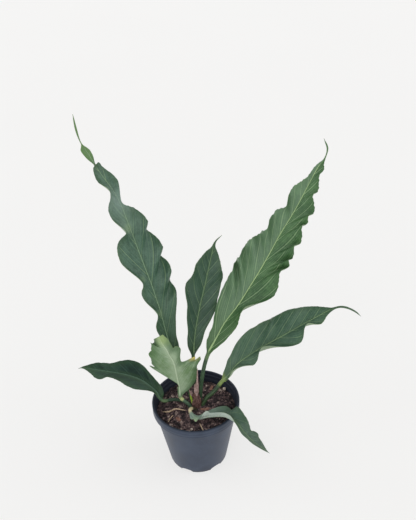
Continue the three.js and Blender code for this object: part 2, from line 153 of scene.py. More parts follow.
def set_stops(ramp, stops):
    """Places and colours put on a ramp, which starts with two."""
    for place, colour in stops[2:]:
        ramp.elements.new(place)
    for element, (place, colour) in zip(ramp.elements, stops):
        element.position = place
        element.color = colour


print("kinds of shader node:", sum(kind.startswith("ShaderNode") for kind in dir(bpy.types)))

# %% [markdown]
# Colours read from a picture are display values. The shader wants linear light, so they are
# converted once here. A finish starts from Blender's own Principled shader, whose sockets take
# either a number or a wire.

# %% Colours and the start of a finish
def paint(*display):
    """A red, green and blue from 0 to 255, as the shader wants them."""
    linear = [((v / 255 + 0.055) / 1.055) ** 2.4 if v > 10 else v / 255 / 12.92 for v in display]
    return (*linear, 1)


def new_finish(name):
    """A material and a wire that adds nodes to it."""
    material = bpy.data.materials.new(name)
    material.use_nodes = True
    return material, Wire(material.node_tree)


def set_shader(material, **sockets):
    """Numbers, colours or wires put into the sockets of the material's shader."""
    shader = material.node_tree.nodes["Principled BSDF"]
    for name, value in sockets.items():
        socket = shader.inputs[name.replace("_", " ")]
        if isinstance(value, Wire):
            material.node_tree.links.new(value.socket, socket)
        else:
            socket.default_value = value


def object_place(wire):
    """Where the shaded point is, in metres."""
    return wire.node("TexCoord", output="Object")


def mottle(wire, size, detail=3, seed=0):
    """Smooth random patches of a size in millimetres, from 0 to 1."""
    shifted = wire.node("VectorMath", {"operation": "ADD"}, {0: object_place(wire), 1: (seed, 0, 0)})
    return wire.node("TexNoise", None, {"Vector": shifted, "Scale": 1 / (size * MM), "Detail": detail})


def relief(wire, height, depth, strength=1.0):
    """A bump whose full height is a depth in millimetres."""
    return wire.node("Bump", None, {"Height": height, "Distance": depth * MM, "Strength": strength})


print("mid grey in linear light:", round(paint(128, 128, 128)[0], 3))

# %% [markdown]
# ## The studio
# The photograph has almost no shadow, as on a light table: most of the floor's brightness is its
# own glow, which no shadow can darken. Lamps near the plant would leave the far floor dark, so the
# lamps are suns, whose light doesn't fade with distance. Each is spread over a wide angle, which
# softens its shadow as a large window does, and an even sky fills the rest.

# %% The floor
FLOOR_GLOW = 0.69


def add_mesh(name, places, faces):
    """A mesh from places in millimetres, as an object."""
    mesh = bpy.data.meshes.new(name)
    mesh.from_pydata((np.asarray(places) * MM).tolist(), [], faces)
    return add_object(name, mesh)


def make_floor(half=8000):
    """A square sheet that reaches half its side each way."""
    floor = add_mesh(
        "floor", [(-half, -half, 0), (half, -half, 0), (half, half, 0), (-half, half, 0)], [(0, 1, 2, 3)]
    )
    material, wire = new_finish("light_table")
    tone = mottle(wire, 900, 1).blend(paint(138, 138, 137), paint(142, 142, 141))
    set_shader(
        material,
        Base_Color=tone,
        Roughness=0.9,
        Emission_Color=paint(250, 249, 248),
        Emission_Strength=FLOOR_GLOW,
    )
    floor.data.materials.append(material)


make_floor()
print("glow of the floor:", FLOOR_GLOW)

# %% The suns and the sky
SUN_SPREAD = math.radians(60)
SUNS = {
    "sun_front": ((0.2, 0.85, -0.4), 1.0, (1.0, 0.99, 0.97)),
    "sun_left": ((0.9, 0, -0.5), 0.7, (0.97, 0.99, 1.0)),
    "sun_right": ((-0.9, 0.05, -0.45), 0.9, (0.98, 0.99, 1.0)),
}
SKY = {"Color": (0.98, 0.99, 1.0, 1), "Strength": 0.52}


def add_sun(name, towards, strength, colour):
    """A wide sun, whose light travels in the direction given."""
    light = bpy.data.lights.new(name, "SUN")
    light.energy = strength
    light.angle = SUN_SPREAD
    light.color = colour
    sun = add_object(name, light)
    sun.rotation_euler = Vector(towards).to_track_quat("-Z", "Y").to_euler()


for name, sun in SUNS.items():
    add_sun(name, *sun)
sky = bpy.data.worlds.new("sky")
sky.use_nodes = True
for name, value in SKY.items():
    sky.node_tree.nodes["Background"].inputs[name].default_value = value
bpy.context.scene.world = sky
bpy.context.scene.view_settings.view_transform = "Standard"
print("suns:", len(SUNS))

# %% [markdown]
# ## How a leaf is described
# A leaf is a rib, which is a curve from the stem to the tip, and two margins. At each station
# along the rib a row of points leaves it on either side, slanted forward as the side veins are.
# A row has a reach, how far the margin is, and a lift, how far it rises out of the leaf's plane.
# The ruffles are nothing but lifts that go up and down from row to row. The faces give the way
# that the leaf's plane looks, and the side veins have a gap and an angle of their own. The values
# are those of the solids, in millimetres, so the fine leaf lies where the solid one is. Three are
# for the fine leaf alone: how far the blade puffs up, how much its margin ripples, and where the
# margin is torn, as the first and last station, the gap between bites and their depth.

# %% Where the rows are kept
STALK = 2.3
LEAVES = {}


def describe(name, **rows):
    """Keep what describes a leaf under its name."""
    LEAVES[name] = rows
    print(name, "rows:", len(rows["left"]) + len(rows["right"]))

# %% The rows of the tall left leaf
describe(
    "leaf_tall_left",
    stalk=[(-4.8, 4.3, 84), (-9, 7, 110), (-23, 14, 153)],
    rib=[
        (-34, 22, 194), (-41, 30, 231), (-50, 38, 267), (-60, 46, 301), (-70, 53, 336), (-80, 59, 371),
        (-89, 64, 390), (-102, 68, 411), (-111, 70, 430), (-120, 71, 449), (-123, 72, 463), (-125, 75, 481),
    ],
    faces=[(0, 0.5, -0.75, 0.4), (351, 0.5, -0.75, 0.4)],
    left=[
        (0, STALK, 0), (22, 8, 15), (42, 17, 0), (66, 21, 48), (88, 26, -5), (107, 30, 38), (132, 42, -5),
        (156, 37, 0), (168, 32, 20), (178, 28, 50), (204, 28, -5), (240, 18, 50), (260, 14, 0),
        (278, 9, 30), (286, 1.8, 20), (292, 7, 0), (301, 9, 0), (317, 0.9, 0), (330, 1.7, 0),
        (343, 0.9, 0), (351, 0.7, 0),
    ],
    right=[
        (0, STALK, 0), (18, 16, 10), (49, 34, 15), (68, 41, 22), (79, 43, -8), (95, 47, 20),
        (111, 48, -18), (127, 47, 22), (155, 41, -22), (172, 37, 20), (194, 29, -15), (211, 16, -10),
        (229, 5, -10), (244, 18, 10), (270, 12.5, -8), (280, 9, 0), (286, 1.8, 0), (292, 6, 0),
        (298, 7, 0), (317, 0.9, 0), (330, 1.7, 0), (343, 0.9, 0), (351, 0.7, 0),
    ],
    slant=50, vein_gap=36, vein_angle=26,
)

# %% The rows of the leaf at the back
describe(
    "leaf_back",
    stalk=[(0.2, 6.5, 84), (0, 13, 115), (-1, 24, 156)],
    rib=[
        (3, 34, 189), (7, 40, 208), (13, 46, 233), (19, 52, 254), (24, 56, 275), (29, 60, 295),
        (34, 63, 311), (43, 67, 318),
    ],
    faces=[(0, 0.35, -1, 0.2), (176, 0.35, -1, 0.2)],
    left=[
        (0, STALK, 0), (19, 16, 18), (45, 35, 25), (71, 43, 8), (86, 41, 22), (111, 31, 12),
        (134, 19, 18), (155, 3.2, 0), (176, 0.7, 0),
    ],
    right=[
        (0, STALK, 0), (17, 15, 15), (35, 32, 18), (64, 33, 22), (84, 34, 5), (110, 26, 20), (135, 15, 5),
        (158, 3, 0), (176, 0.7, 0),
    ],
    slant=50, vein_gap=20, vein_angle=33,
)

# %% The rows of the large right leaf
describe(
    "leaf_large_right",
    stalk=[(5.1, 4, 84), (8, 6, 118), (13, 8, 149), (19, 12, 168)],
    rib=[
        (32, 20, 191), (43, 26, 209), (61, 34, 231), (76, 42, 252), (96, 54, 281), (117, 66, 316),
        (138, 78, 347), (153, 86, 374), (166, 92, 397), (173, 95, 405), (176, 96, 418), (171, 97, 431),
    ],
    faces=[(0, -0.5, -0.8, 0.3), (323, -0.5, -0.8, 0.3)],
    left=[
        (0, 2.7, 0), (14, 12, 12), (28, 22, 25), (42, 34, 10), (53, 47, 0), (73, 54, 28), (85, 55, 2),
        (97, 51, 30), (109, 54, 2), (128, 47, 20), (144, 39, 0), (163, 32, 48), (181, 33, 0), (205, 22, 45),
        (219, 28, 0), (242, 18, 25), (261, 9, 30), (274, 7, 0), (293, 1.8, 0), (310, 1.2, 0), (323, 0.7, 0),
    ],
    right=[
        (0, 2.7, 0), (12, 8, 10), (21, 20, 0), (40, 33, 30), (60, 33, 55), (82, 50, 0), (111, 49, 30),
        (123, 46, 0), (129, 47, 22), (135, 44, 0), (148, 47, 28), (156, 45, 0), (180, 41, 30), (187, 37, 5),
        (197, 37, 25), (205, 35, 0), (233, 24, 32), (239, 23, 0), (266, 14, 30), (273, 13, 0), (293, 2, 0),
        (310, 1.2, 0), (323, 0.7, 0),
    ],
    slant=50, vein_gap=24, vein_angle=24, puff=0.2, ripple=0.6,
)

# %% The rows of the arching right leaf
describe(
    "leaf_right_arching",
    stalk=[(6, -2.4, 84), (15, 3, 99), (25, 7, 106), (37, 14, 118)],
    rib=[
        (47, 16, 127), (56, 19, 140), (77, 21, 158), (103, 22, 176), (131, 24, 193), (157, 27, 208),
        (180, 30, 220), (192, 31, 224), (202, 32, 222), (215, 33, 214), (223, 33, 206),
    ],
    faces=[(0, -0.3, -0.4, 0.85), (228, -0.3, -0.4, 0.85)],
    left=[
        (0, 2.7, 0), (8, 9, 25), (18, 17, 30), (25, 23, 22), (31, 38, 8), (54, 43, 22), (68, 45, 8),
        (78, 43, 20), (86, 45, 8), (118, 35, 20), (146, 23, 5), (168, 10, 5), (182, 2.8, 0),
        (199, 2.4, 0), (228, 0.7, 0),
    ],
    right=[
        (0, 2.7, 0), (8, 8, 40), (16, 14, 60), (29, 28, 0), (40, 28, 15), (60, 29, 60), (99, 32, -5),
        (128, 24, 56), (149, 18, 0), (168, 8, 5), (182, 2.8, 0), (199, 2.4, 0), (228, 0.7, 0),
    ],
    slant=50, vein_gap=20, vein_angle=34,
)

# %% The rows of the drooping front leaf
describe(
    "leaf_front_drooping",
    stalk=[(2, -6.2, 84), (-4.5, -11, 94), (-8, -17, 97)],
    rib=[
        (-5, -24, 95), (1, -29, 94), (7, -30, 95), (15, -31, 98), (27, -34, 102), (38, -40, 107),
        (47, -49, 110), (54, -58, 110), (61, -66, 104), (66, -69, 99), (72, -72, 93), (83, -74, 83),
        (94, -74, 72),
    ],
    faces=[(0, 0, 0.3, 0.95), (45, 0, 0.3, 0.95), (90, 0.4, 0.1, 0.9), (141, 0.5, 0.1, 0.85)],
    left=[
        (0, STALK, 0), (8, 3, 10), (24, 9, 20), (44, 20, 15), (52, 17, 5), (59, 20, 32), (67, 18.5, 20),
        (76, 17, 12), (85, 15.5, 10), (93, 15, 5), (103, 20, 10), (112, 15, 12), (130, 8, 5),
        (141, 0.7, 0),
    ],
    right=[
        (0, STALK, 0), (6, 3, -20), (10, 5.5, -30), (15, 6.5, -25), (19, 3, -10), (24, 7, 70),
        (30, 9, 85), (34, 5, 90), (60, 5, 85), (72, 7, 50), (88, 7, 10), (105, 6, 5), (125, 3.5, 5),
        (141, 0.7, 0),
    ],
    slant=25, vein_gap=14, vein_angle=36, torn={"right": (10, 21, 5.5, 0.45)},
)

# %% The rows of the low left leaf
describe(
    "leaf_left_low",
    stalk=[(-6.4, -0.9, 84), (-16, 0, 97), (-30, 0, 101), (-45, -1, 101)],
    rib=[
        (-54, 5, 113), (-71, 12, 126), (-83, 16, 130), (-94, 18, 133), (-109, 21, 135), (-124, 23, 137),
        (-139, 26, 138), (-153, 30, 138), (-160, 31, 136),
    ],
    faces=[(0, 0.2, -0.3, 0.9), (132, 0.2, -0.3, 0.9)],
    left=[
        (0, STALK, 0), (16, 7, 30), (26, 17, 10), (35, 22, 5), (78, 15, 25), (90, 16, 0), (110, 7, 5),
        (122, 2.2, 0), (132, 0.7, 0),
    ],
    right=[
        (0, STALK, 0), (6, 7, 20), (12, 9.5, 20), (30, 17, 12), (48, 26, 5), (66, 20, 15), (84, 13, 22),
        (96, 13, 5), (112, 8, 5), (124, 2.4, 0), (132, 0.7, 0),
    ],
    slant=30, vein_gap=17, vein_angle=34,
)

# %% The rows of the pale torn leaf
describe(
    "leaf_pale_torn",
    stalk=[(-3.4, -5.5, 84), (-10, -5.5, 97), (-20, -4, 108)],
    rib=[
        (-21, -3, 128), (-23, -5, 150), (-24, -8, 166), (-26, -9, 178), (-30, -10, 189), (-33, -10, 198),
        (-38, -7, 206), (-42, -2, 213),
    ],
    faces=[(0, 0, 1, 0.3), (113, 0, 1, 0.3)],
    left=[
        (0, 2.5, 0), (6, 6, 5), (12, 19, 12), (20, 33, 12), (28, 39, 10), (32, 46, 10), (36, 46, 12),
        (39, 36, 12), (49, 36, 10), (53, 20, 15), (60, 12, 15), (67, 14, 15), (73, 21, 15), (79, 16, 25),
        (84, 10, 20), (98, 10, 20), (113, 6, 10),
    ],
    right=[
        (0, 2.5, 0), (16, 3, 5), (24, 6, 5), (28, 40, 8), (31, 44, 8), (34, 35, 8), (37, 40, 10),
        (44, 40, 12), (52, 43, 12), (60, 38.5, 14), (66, 34, 15), (84, 25, 15), (98, 22, 20),
        (113, 14, 25),
    ],
    slant=40, vein_gap=22, vein_angle=38,
)

# %% [markdown]
# ## From rows to a surface
# The rib is a smooth curve through its points. Reach and lift run smoothly between their rows,
# level at each high and low, so a crest stays a crest. One cubic serves both: they differ only in
# the slopes at its ends. All stations are worked out at once as arrays, which is much faster than
# a loop over points.

# %% A cubic, and directions
def soft_step(t):
    """0 below 0, 1 above 1 and level at both."""
    t = np.clip(t, 0, 1)
    return t * t * (3 - 2 * t)


def cubic(t, here, there, leave, arrive):
    """From one value to the next as t goes from 0 to 1, with the slopes given at both."""
    ease = soft_step(t)
    return here * (1 - ease) + there * ease + leave * t * (1 - t) ** 2 - arrive * t * t * (1 - t)


def unit(vectors):
    """Vectors in the same directions, each of length 1."""
    return vectors / np.maximum(np.linalg.norm(vectors, axis=-1, keepdims=True), 1e-9)


print("a soft step at a quarter of its way:", soft_step(0.25))

# %% A smooth curve
ROUTE_STEPS = 40


def smooth_route(points):
    """A curve through points: the distance along it of each sample, and its place."""
    points = np.array(points, float)
    ends = np.vstack([2 * points[0] - points[1], points, 2 * points[-1] - points[-2]])
    gaps = np.sqrt(np.linalg.norm(np.diff(ends, axis=0), axis=1))[:, None]
    t = np.linspace(0, 1, ROUTE_STEPS, endpoint=False)[:, None]
    places = []
    for i in range(len(points) - 1):
        before, here, there, after = ends[i:i + 4]
        g0, g1, g2 = gaps[i:i + 3]
        leave = ((here - before) / g0 - (there - before) / (g0 + g1) + (there - here) / g1) * g1
        arrive = ((there - here) / g1 - (after - here) / (g1 + g2) + (after - there) / g2) * g1
        places.append(cubic(t, here, there, leave, arrive))
    places = np.vstack([*places, points[-1:]])
    distance = np.concatenate([[0], np.cumsum(np.linalg.norm(np.diff(places, axis=0), axis=1))])
    return distance, places


def walk(distance, places, at):
    """The places at some distances along a curve, and the way that it goes there."""
    middle = np.stack([np.interp(at, distance, places[:, k]) for k in range(3)], -1)
    return middle, unit(np.gradient(middle, axis=0))


print("rib of the tall leaf, mm:", round(smooth_route(LEAVES["leaf_tall_left"]["rib"])[0][-1]))

# %% A smooth table
def between(rows, stations):
    """The values of a table between its rows, level at each high and low, for many stations."""
    rows = np.array(rows, float)
    at, values = rows[:, 0], rows[:, 1:]
    rises = np.diff(values, axis=0) / np.diff(at)[:, None]
    slopes = np.zeros_like(values)
    turns = rises[:-1] * rises[1:] <= 0
    slopes[1:-1] = np.where(turns, 0, (rises[:-1] + rises[1:]) / 2)
    stations = np.clip(stations, at[0], at[-1])
    i = np.clip(np.searchsorted(at, stations, side="right") - 1, 0, len(at) - 2)
    span = (at[i + 1] - at[i])[:, None]
    t = (stations - at[i])[:, None] / span
    return cubic(t, values[i], values[i + 1], span * slopes[i], span * slopes[i + 1])


print("reach of the tall leaf 100 mm up its rib:", between(LEAVES["leaf_tall_left"]["left"], [100])[0, 0])

# %% [markdown]
# A blade is a grid of stations by columns. The columns crowd together at the rib, so that the
# round stalk, which is the same surface drawn in to its own radius, stays round, and again at the
# margin. No margin is quite smooth: each ripples by a fraction of a millimetre, and a torn one has
# small rounded bites taken out of it. A count of side veins runs along each side and is a whole
# number on each vein. A side vein leaves the rib at the leaf's own angle and bends forward near the
# margin, and those of the two sides don't meet.

# %% One side of a blade
HINGE = 0.35
FADE = 25
TIP_RADIUS = 0.9
TIP_SHARE = 0.3
TIP_LENGTH = 8
COLUMNS = 19
RIB_COLUMNS = 5
RIPPLE = 0.2
RIPPLE_TURN = 0.8
RIPPLE_SWELL = 0.23
RIPPLE_REACH = 12
VEIN_BEND = 0.22
BEND_REACH = 8
VEIN_STAGGER = 0.22
VEIN_WANDER = 0.12
WANDER_TURN = 1.7


def side_grid(leaf, side, stations, length):
    """Distances from the rib of one side's points, with their reach, lift and vein count."""
    sign = 1 if side == "left" else -1
    reach, lift = between(leaf[side], stations).T
    if side in leaf.get("torn", {}):
        first, last, gap, depth = leaf["torn"][side]
        bites = np.sin(np.pi * (stations - first) / gap) ** 2
        reach = reach * (1 - depth * bites * (stations > first) * (stations < last))
    ripple = np.sin(stations * RIPPLE_TURN + 2 * sign) * np.sin(stations * RIPPLE_SWELL + sign)
    reach = reach + leaf.get("ripple", RIPPLE) * ripple * soft_step(reach / RIPPLE_REACH)
    if leaf[side][-1][1] < 1:
        reach = reach * (TIP_SHARE + (1 - TIP_SHARE) * soft_step((length - stations) / TIP_LENGTH))
    taper = np.clip(stations / length, 0, 1)
    radius = np.minimum(leaf["left"][0][1] * (1 - taper) + TIP_RADIUS * taper, reach)
    steps = np.arange(COLUMNS)
    rib_share = np.sin(np.pi / 2 * np.clip(steps / RIB_COLUMNS, 0, 1))
    blade_share = np.clip((steps - RIB_COLUMNS) / (COLUMNS - 1 - RIB_COLUMNS), 0, 1)
    blade_share = 0.5 * blade_share + 0.25 * (1 - np.cos(np.pi * blade_share))
    out = radius[:, None] * rib_share + (reach - radius)[:, None] * blade_share
    reach = reach[:, None] + 0 * out
    fade = soft_step(stations / FADE) * soft_step((length - stations) / FADE)
    slant = (math.radians(leaf["slant"]) * fade)[:, None]
    forward = np.sin(slant) - np.cos(slant) / math.tan(math.radians(leaf["vein_angle"]))
    start = stations[:, None] + out * (forward - VEIN_BEND * out / (reach + BEND_REACH))
    count = start / leaf["vein_gap"]
    vein = count + VEIN_STAGGER * sign + VEIN_WANDER * np.sin(count * WANDER_TURN + 2 * sign)
    angle = np.radians(lift)[:, None] * (HINGE + (1 - HINGE) * out / reach)
    radius = radius[:, None] + 0 * out
    return dict(sign=sign, out=out, reach=reach, radius=radius, slant=slant, vein=vein, angle=angle)


print("points from rib to margin:", COLUMNS)

# %% [markdown]
# The rib carries the two sides. At each station it has three directions: along itself, up as the
# leaf's face looks there, and to the left. A point goes its distance out from the rib, turned
# forward by the slant and upward by the lift. The two sides then join into one sheet of points.

# %% The grid of a blade
def blade_grid(leaf, station_gap):
    """Places and values of the points of a whole leaf, as arrays of stations by columns."""
    distance, places = smooth_route(leaf["stalk"] + leaf["rib"])
    stalk_length = distance[ROUTE_STEPS * (len(leaf["stalk"]) - 1)]
    length = distance[-1] - stalk_length
    stations = np.linspace(-stalk_length, length, max(int(distance[-1] / station_gap), 6))
    middle, along = walk(distance, places, stations + stalk_length)
    face = between(leaf["faces"], stations)
    upward = unit(face - (face * along).sum(-1, keepdims=True) * along)
    leftward = np.cross(upward, along)
    sides = []
    for side in ("right", "left"):
        made = side_grid(leaf, side, stations, length)
        flat = made["out"] * np.cos(made["slant"])
        forward = made["out"] * np.sin(made["slant"])
        sideways = made["sign"] * flat * np.cos(made["angle"])
        rise = flat * np.sin(made["angle"])
        made["points"] = middle[:, None] + sum(
            axis[:, None] * amount[..., None]
            for axis, amount in ((along, forward), (leftward, sideways), (upward, rise))
        )
        sides.append(made)
    right_side, left_side = sides
    grid = {
        key: np.concatenate([right_side[key][:, :0:-1], left_side[key]], axis=1)
        for key in ("points", "out", "reach", "radius", "vein")
    }
    grid["station"] = stations[:, None] + 0 * grid["out"]
    return grid


print("stations by columns of the tall leaf:", blade_grid(LEAVES["leaf_tall_left"], 1.0)["out"].shape)

# %% [markdown]
# The grid becomes a closed leaf by moving it half a thickness up for the upper skin and half down
# for the lower one, and walling the edges between them. Between its side veins the blade is
# puffed up a little, which catches the light as real leaves do. The rib stands out round below
# and as a low ridge above. What a finish needs to know is kept with each point: its station, its
# distance from the rib and from the margin, the count of veins, its skin and its half of the leaf.

# %% A closed leaf from its grid
HALF_BLADE = 0.4
THIN_MARGIN = 1.5
PUFF = 0.45
FLAT_BY_RIB = 4
FLAT_BY_MARGIN = 5
RIDGE = 0.55
RIDGE_START = 20


def quads(*corners):
    """Faces of four corners each, from four arrays of point numbers."""
    return np.stack([c.ravel() for c in corners], axis=-1)


def thicker(blade, rib):
    """A half thickness that runs smoothly from the rib's to the blade's."""
    return (blade ** 3 + rib ** 3) ** (1 / 3)


def leaf_shape(leaf, station_gap=1.0):
    """Places, faces and point values of a closed leaf, in millimetres."""
    grid = blade_grid(leaf, station_gap)
    points, out, reach, station = grid["points"], grid["out"], grid["reach"], grid["station"]
    normals = unit(np.cross(np.gradient(points, axis=0), np.gradient(points, axis=1)))
    open_blade = soft_step((out - grid["radius"]) / FLAT_BY_RIB) * soft_step((reach - out) / FLAT_BY_MARGIN)
    puff = leaf.get("puff", PUFF) * open_blade * np.sin(np.pi * grid["vein"]) ** 2
    points = points + normals * puff[..., None]
    rib = np.sqrt(np.maximum(grid["radius"] ** 2 - out ** 2, 0))
    blade = HALF_BLADE * (0.5 + 0.5 * soft_step((reach - out) / THIN_MARGIN))
    over = thicker(blade, rib * (1 - (1 - RIDGE) * soft_step(station / RIDGE_START)))
    below = thicker(blade, rib)
    skins = np.stack([points + normals * over[..., None], points - normals * below[..., None]])
    upper, lower = np.arange(2 * out.size).reshape(2, *out.shape)
    faces = np.concatenate([
        quads(upper[:-1, :-1], upper[1:, :-1], upper[1:, 1:], upper[:-1, 1:]),
        quads(lower[:-1, :-1], lower[:-1, 1:], lower[1:, 1:], lower[1:, :-1]),
        quads(lower[:-1, 0], lower[1:, 0], upper[1:, 0], upper[:-1, 0]),
        quads(upper[:-1, -1], upper[1:, -1], lower[1:, -1], lower[:-1, -1]),
        quads(upper[0, :-1], upper[0, 1:], lower[0, 1:], lower[0, :-1]),
        quads(lower[-1, :-1], lower[-1, 1:], upper[-1, 1:], upper[-1, :-1]),
    ])
    left = (np.arange(out.shape[1]) >= COLUMNS - 1) + 0 * out
    values = {"vein": grid["vein"], "rib": out / grid["radius"], "edge": reach - out, "along": station}
    values = {name: np.tile(value.ravel(), 2) for name, value in {**values, "left": left}.items()}
    values["under"] = np.repeat([0.0, 1.0], out.size)
    return skins.reshape(-1, 3), faces, values


print("faces of the low leaf:", len(leaf_shape(LEAVES["leaf_left_low"])[1]))

# %% [markdown]
# Every piece is handed over in the same way. Its points are turned from millimetres into metres,
# its values are stored as attributes that a finish can read, and it is told what it rides on,
# which slot its material has and which solid it takes the place of. Faces that meet at more than
# 48 degrees keep a sharp edge, and all others are shaded smooth.

# %% A piece of the part
SHARP_EDGE = math.radians(48)


def add_piece(name, shape, material, node, cutter=None):
    """A smooth mesh from places in millimetres, riding on the part in place of a node."""
    places, faces, values = shape
    piece = add_mesh(name, places, [[int(corner) for corner in face] for face in faces])
    for key, value in values.items():
        attribute = piece.data.attributes.new(key, "FLOAT", "POINT")
        attribute.data.foreach_set("value", np.asarray(value, np.float32))
    if cutter:
        piece.data = carved(piece, cutter)
    piece.data.shade_smooth()
    piece.data.set_sharp_from_angle(angle=SHARP_EDGE)
    piece.data.materials.clear()
    piece.data.materials.append(material)
    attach(piece, "root")
    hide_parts(node)
    print(name, "faces:", len(piece.data.polygons), "nodes:", len(material.node_tree.nodes))


print("edges stay sharp over, degrees:", round(math.degrees(SHARP_EDGE)))

# %% [markdown]
# ## The leaf's finish
# The veins follow the values kept with each point, so they bend with the leaf. A vein is a soft
# line wherever the count of veins is whole, and finer ones run between at quarters of the count.
# A net of cells finer still ties them together. Under all of it the green is uneven, in patches,
# in blotches and in streaks that run along the side veins.

# %% What both sides of a leaf share
POINT_VALUES = ("vein", "rib", "edge", "along", "under", "left")
NET_SCALE = 420
FINE_PER_VEIN = 4
STREAKS_PER_VEIN = 9


def value_of(wire, name):
    """A value that was stored with each point."""
    return wire.node("Attribute", {"attribute_name": name}, output="Fac")


def lines(count, gap, width):
    """Soft lines at every whole number of a count, whose steps are a gap apart in millimetres."""
    off = abs((count + 0.5).fraction() - 0.5) * gap
    return off.rise(width, 0)


def leaf_wires(wire, look):
    """The stored values, the veins and the uneven tone of a leaf, as wires."""
    w = SimpleNamespace(**{name: value_of(wire, name) for name in POINT_VALUES})
    gap, width = look["vein_gap"], look["vein_width"]
    w.place = object_place(wire)
    w.patches = mottle(wire, 26, 3, look["seed"])
    w.blotches = mottle(wire, 6, 3, look["seed"])
    w.fine = mottle(wire, 1.6, 2)
    w.main = lines(w.vein, gap, width) * w.edge.rise(-0.5, 7)
    w.minor = lines(w.vein * FINE_PER_VEIN, gap / FINE_PER_VEIN, width * 0.45) * w.edge.rise(1, 9)
    cells = {"Vector": w.place, "Scale": NET_SCALE}
    w.net = wire.node("TexVoronoi", {"feature": "DISTANCE_TO_EDGE"}, cells).rise(0.06, 0)
    along_vein = {"W": w.vein * STREAKS_PER_VEIN, "Scale": 1.0, "Detail": 4}
    streak = wire.node("TexNoise", {"noise_dimensions": "1D"}, along_vein)
    w.tone = (w.patches * 0.3 + w.blotches * 0.25 + streak * 0.25 + w.fine * 0.2).rise(0.41, 0.59)
    return w


print("values read from each point:", len(POINT_VALUES))

# %% [markdown]
# The upper side is a deep, slightly blue green with a satin gloss, richer along its margin and its
# rib, where the richer green beside the rib is painted shade, for the crease there. A leaf may have
# bands of another green across it, and a painted sheen, a paler green for light, on its left half.
# The underside is paler and has veins of its own.

# %% The two sides of a leaf
def upper_side(w, look):
    """The greens, the painted shade by the rib, the painted sheen, the bands and then the veins of the
    upper side.
    """
    top = w.tone.blend(look["deep"], look["bright"])
    # A deeper green: the leaf's own along the margin, and painted shade beside the rib, for the crease
    # there.
    rich = w.edge.rise(11, 1) * 0.6 + w.rib.rise(4.5, 1) * 0.5
    top = (rich * look["rich_share"]).blend(top, look["rich"])
    # Painted sheen: a paler green over the left half, standing in for the light on it.
    top = (w.left * look["bloom_share"]).blend(top, look["bloom"])
    for start, full, fade, stop, share, band_tone in look["bands"]:
        top = (w.along.rise(start, full) * w.along.rise(stop, fade) * share).blend(top, paint(*band_tone))
    top = (w.minor * look["vein_share"] * 0.35 + w.net * 0.05).blend(top, look["vein"])
    return (w.main * look["vein_share"]).blend(top, look["vein"])


def lower_side(w, look):
    """The greens of the underside, its middle and rim, and then its veins."""
    bottom = w.tone.blend(look["under"], look["under_bright"])
    bottom = (w.rib.rise(10, 1) * look["under_middle"]).blend(bottom, look["under_vein"])
    bottom = (w.edge.rise(14, 3) * look["under_rim"]).blend(bottom, look["deep"])
    veins = (w.main + w.minor * 0.3) * look["under_share"] + w.net * 0.08
    return veins.blend(bottom, look["under_vein"])

# %% [markdown]
# What lies over both sides comes last: a pale rib, a hair's breadth of yellow-green round the
# margin, spots round a place, some of the leaf's own colour and some painted sheen, and then the
# stalk, with the joint where it meets the blade. The veins stand out a little too, so they also
# feed the bump, which is less than half a millimetre.

# %% The finish of a leaf
def leaf_finish(name, look):
    """The skin of a leaf, from its two sides up to its rib, margin, spots and painted sheen, stalk and
    joint.
    """
    material, wire = new_finish(name)
    w = leaf_wires(wire, look)
    blade = w.under.blend(upper_side(w, look), lower_side(w, look))
    midrib = (w.rib - look["rib_width"]).rise(0.25, -0.2) * w.edge.rise(1.5, 6)
    blade = (midrib * look["rib_share"]).blend(blade, look["rib"])
    blade = (w.edge.rise(0.7, 0.15) * w.patches.rise(0.4, 0.7) * 0.4).blend(blade, look["margin"])
    # Spots of the leaf's own colour, and pale spots that are painted sheen.
    for centre, radius, share, spot_and_sheen_tone in look["spots"]:
        spot = {0: w.place, 1: tuple(c * MM for c in centre)}
        near = wire.node("VectorMath", {"operation": "DISTANCE"}, spot, "Value").rise(radius * MM, 0)
        blade = ((near + (w.blotches - 0.5) * near) * share).blend(blade, paint(*spot_and_sheen_tone))
    stalk = w.tone.blend(look["stalk"], look["stalk_bright"])
    blade = w.along.rise(6, -8).blend(blade, stalk)
    joint = w.along.rise(*look["joint_from"]) * w.along.rise(*look["joint_to"])
    blade = (joint * look["joint_share"]).blend(blade, look["joint"])
    height = w.main * 0.7 + w.minor * 0.3 + w.net * 0.12 + w.fine * 0.22
    set_shader(
        material,
        Base_Color=blade,
        Roughness=0.36 + w.patches * 0.16 + w.under * 0.15,
        Specular_IOR_Level=look["gloss"],
        Normal=relief(wire, height, 0.35, 0.55),
    )
    return material

# %% [markdown]
# ## The seven leaves
# No two leaves are the same green. The large right one is the freshest, with the strongest veins.
# The low left one lies in the shade, which is painted into its darker greens. The torn one turns
# its pale underside to the viewer, as does the base of the drooping one in front. So there is one
# plain look, and each leaf gives only what is different in it. A colour is written as a red, green
# and blue from 0 to 255, and a share is how far it covers what is under it. A band is given by four
# stations, where it starts, is full, starts to fade and stops, and a spot by its centre and radius.
# Both end with their share and colour.

# %% The plain look
PLAIN_LOOK = dict(
    # The deeper green is the leaf's own at the margin and painted shade beside the rib. The paler sheen is
    # painted light and is off here.
    gloss=0.4, rich=(58, 86, 50), rich_share=0.6, bloom=(126, 152, 128), bloom_share=0,
    vein=(140, 166, 120), vein_share=0.45, vein_width=1.1, vein_gap=3, bands=(), spots=(),
    rib=(132, 160, 112), rib_share=0.65, rib_width=0.5, margin=(140, 158, 96),
    under=(116, 136, 108), under_bright=(138, 156, 128), under_vein=(176, 190, 156),
    under_share=0.6, under_middle=0, under_rim=0, stalk=(46, 68, 50), stalk_bright=(66, 90, 64),
    joint=(142, 168, 112), joint_share=0.25, joint_from=(-9, -4), joint_to=(4, -1),
)


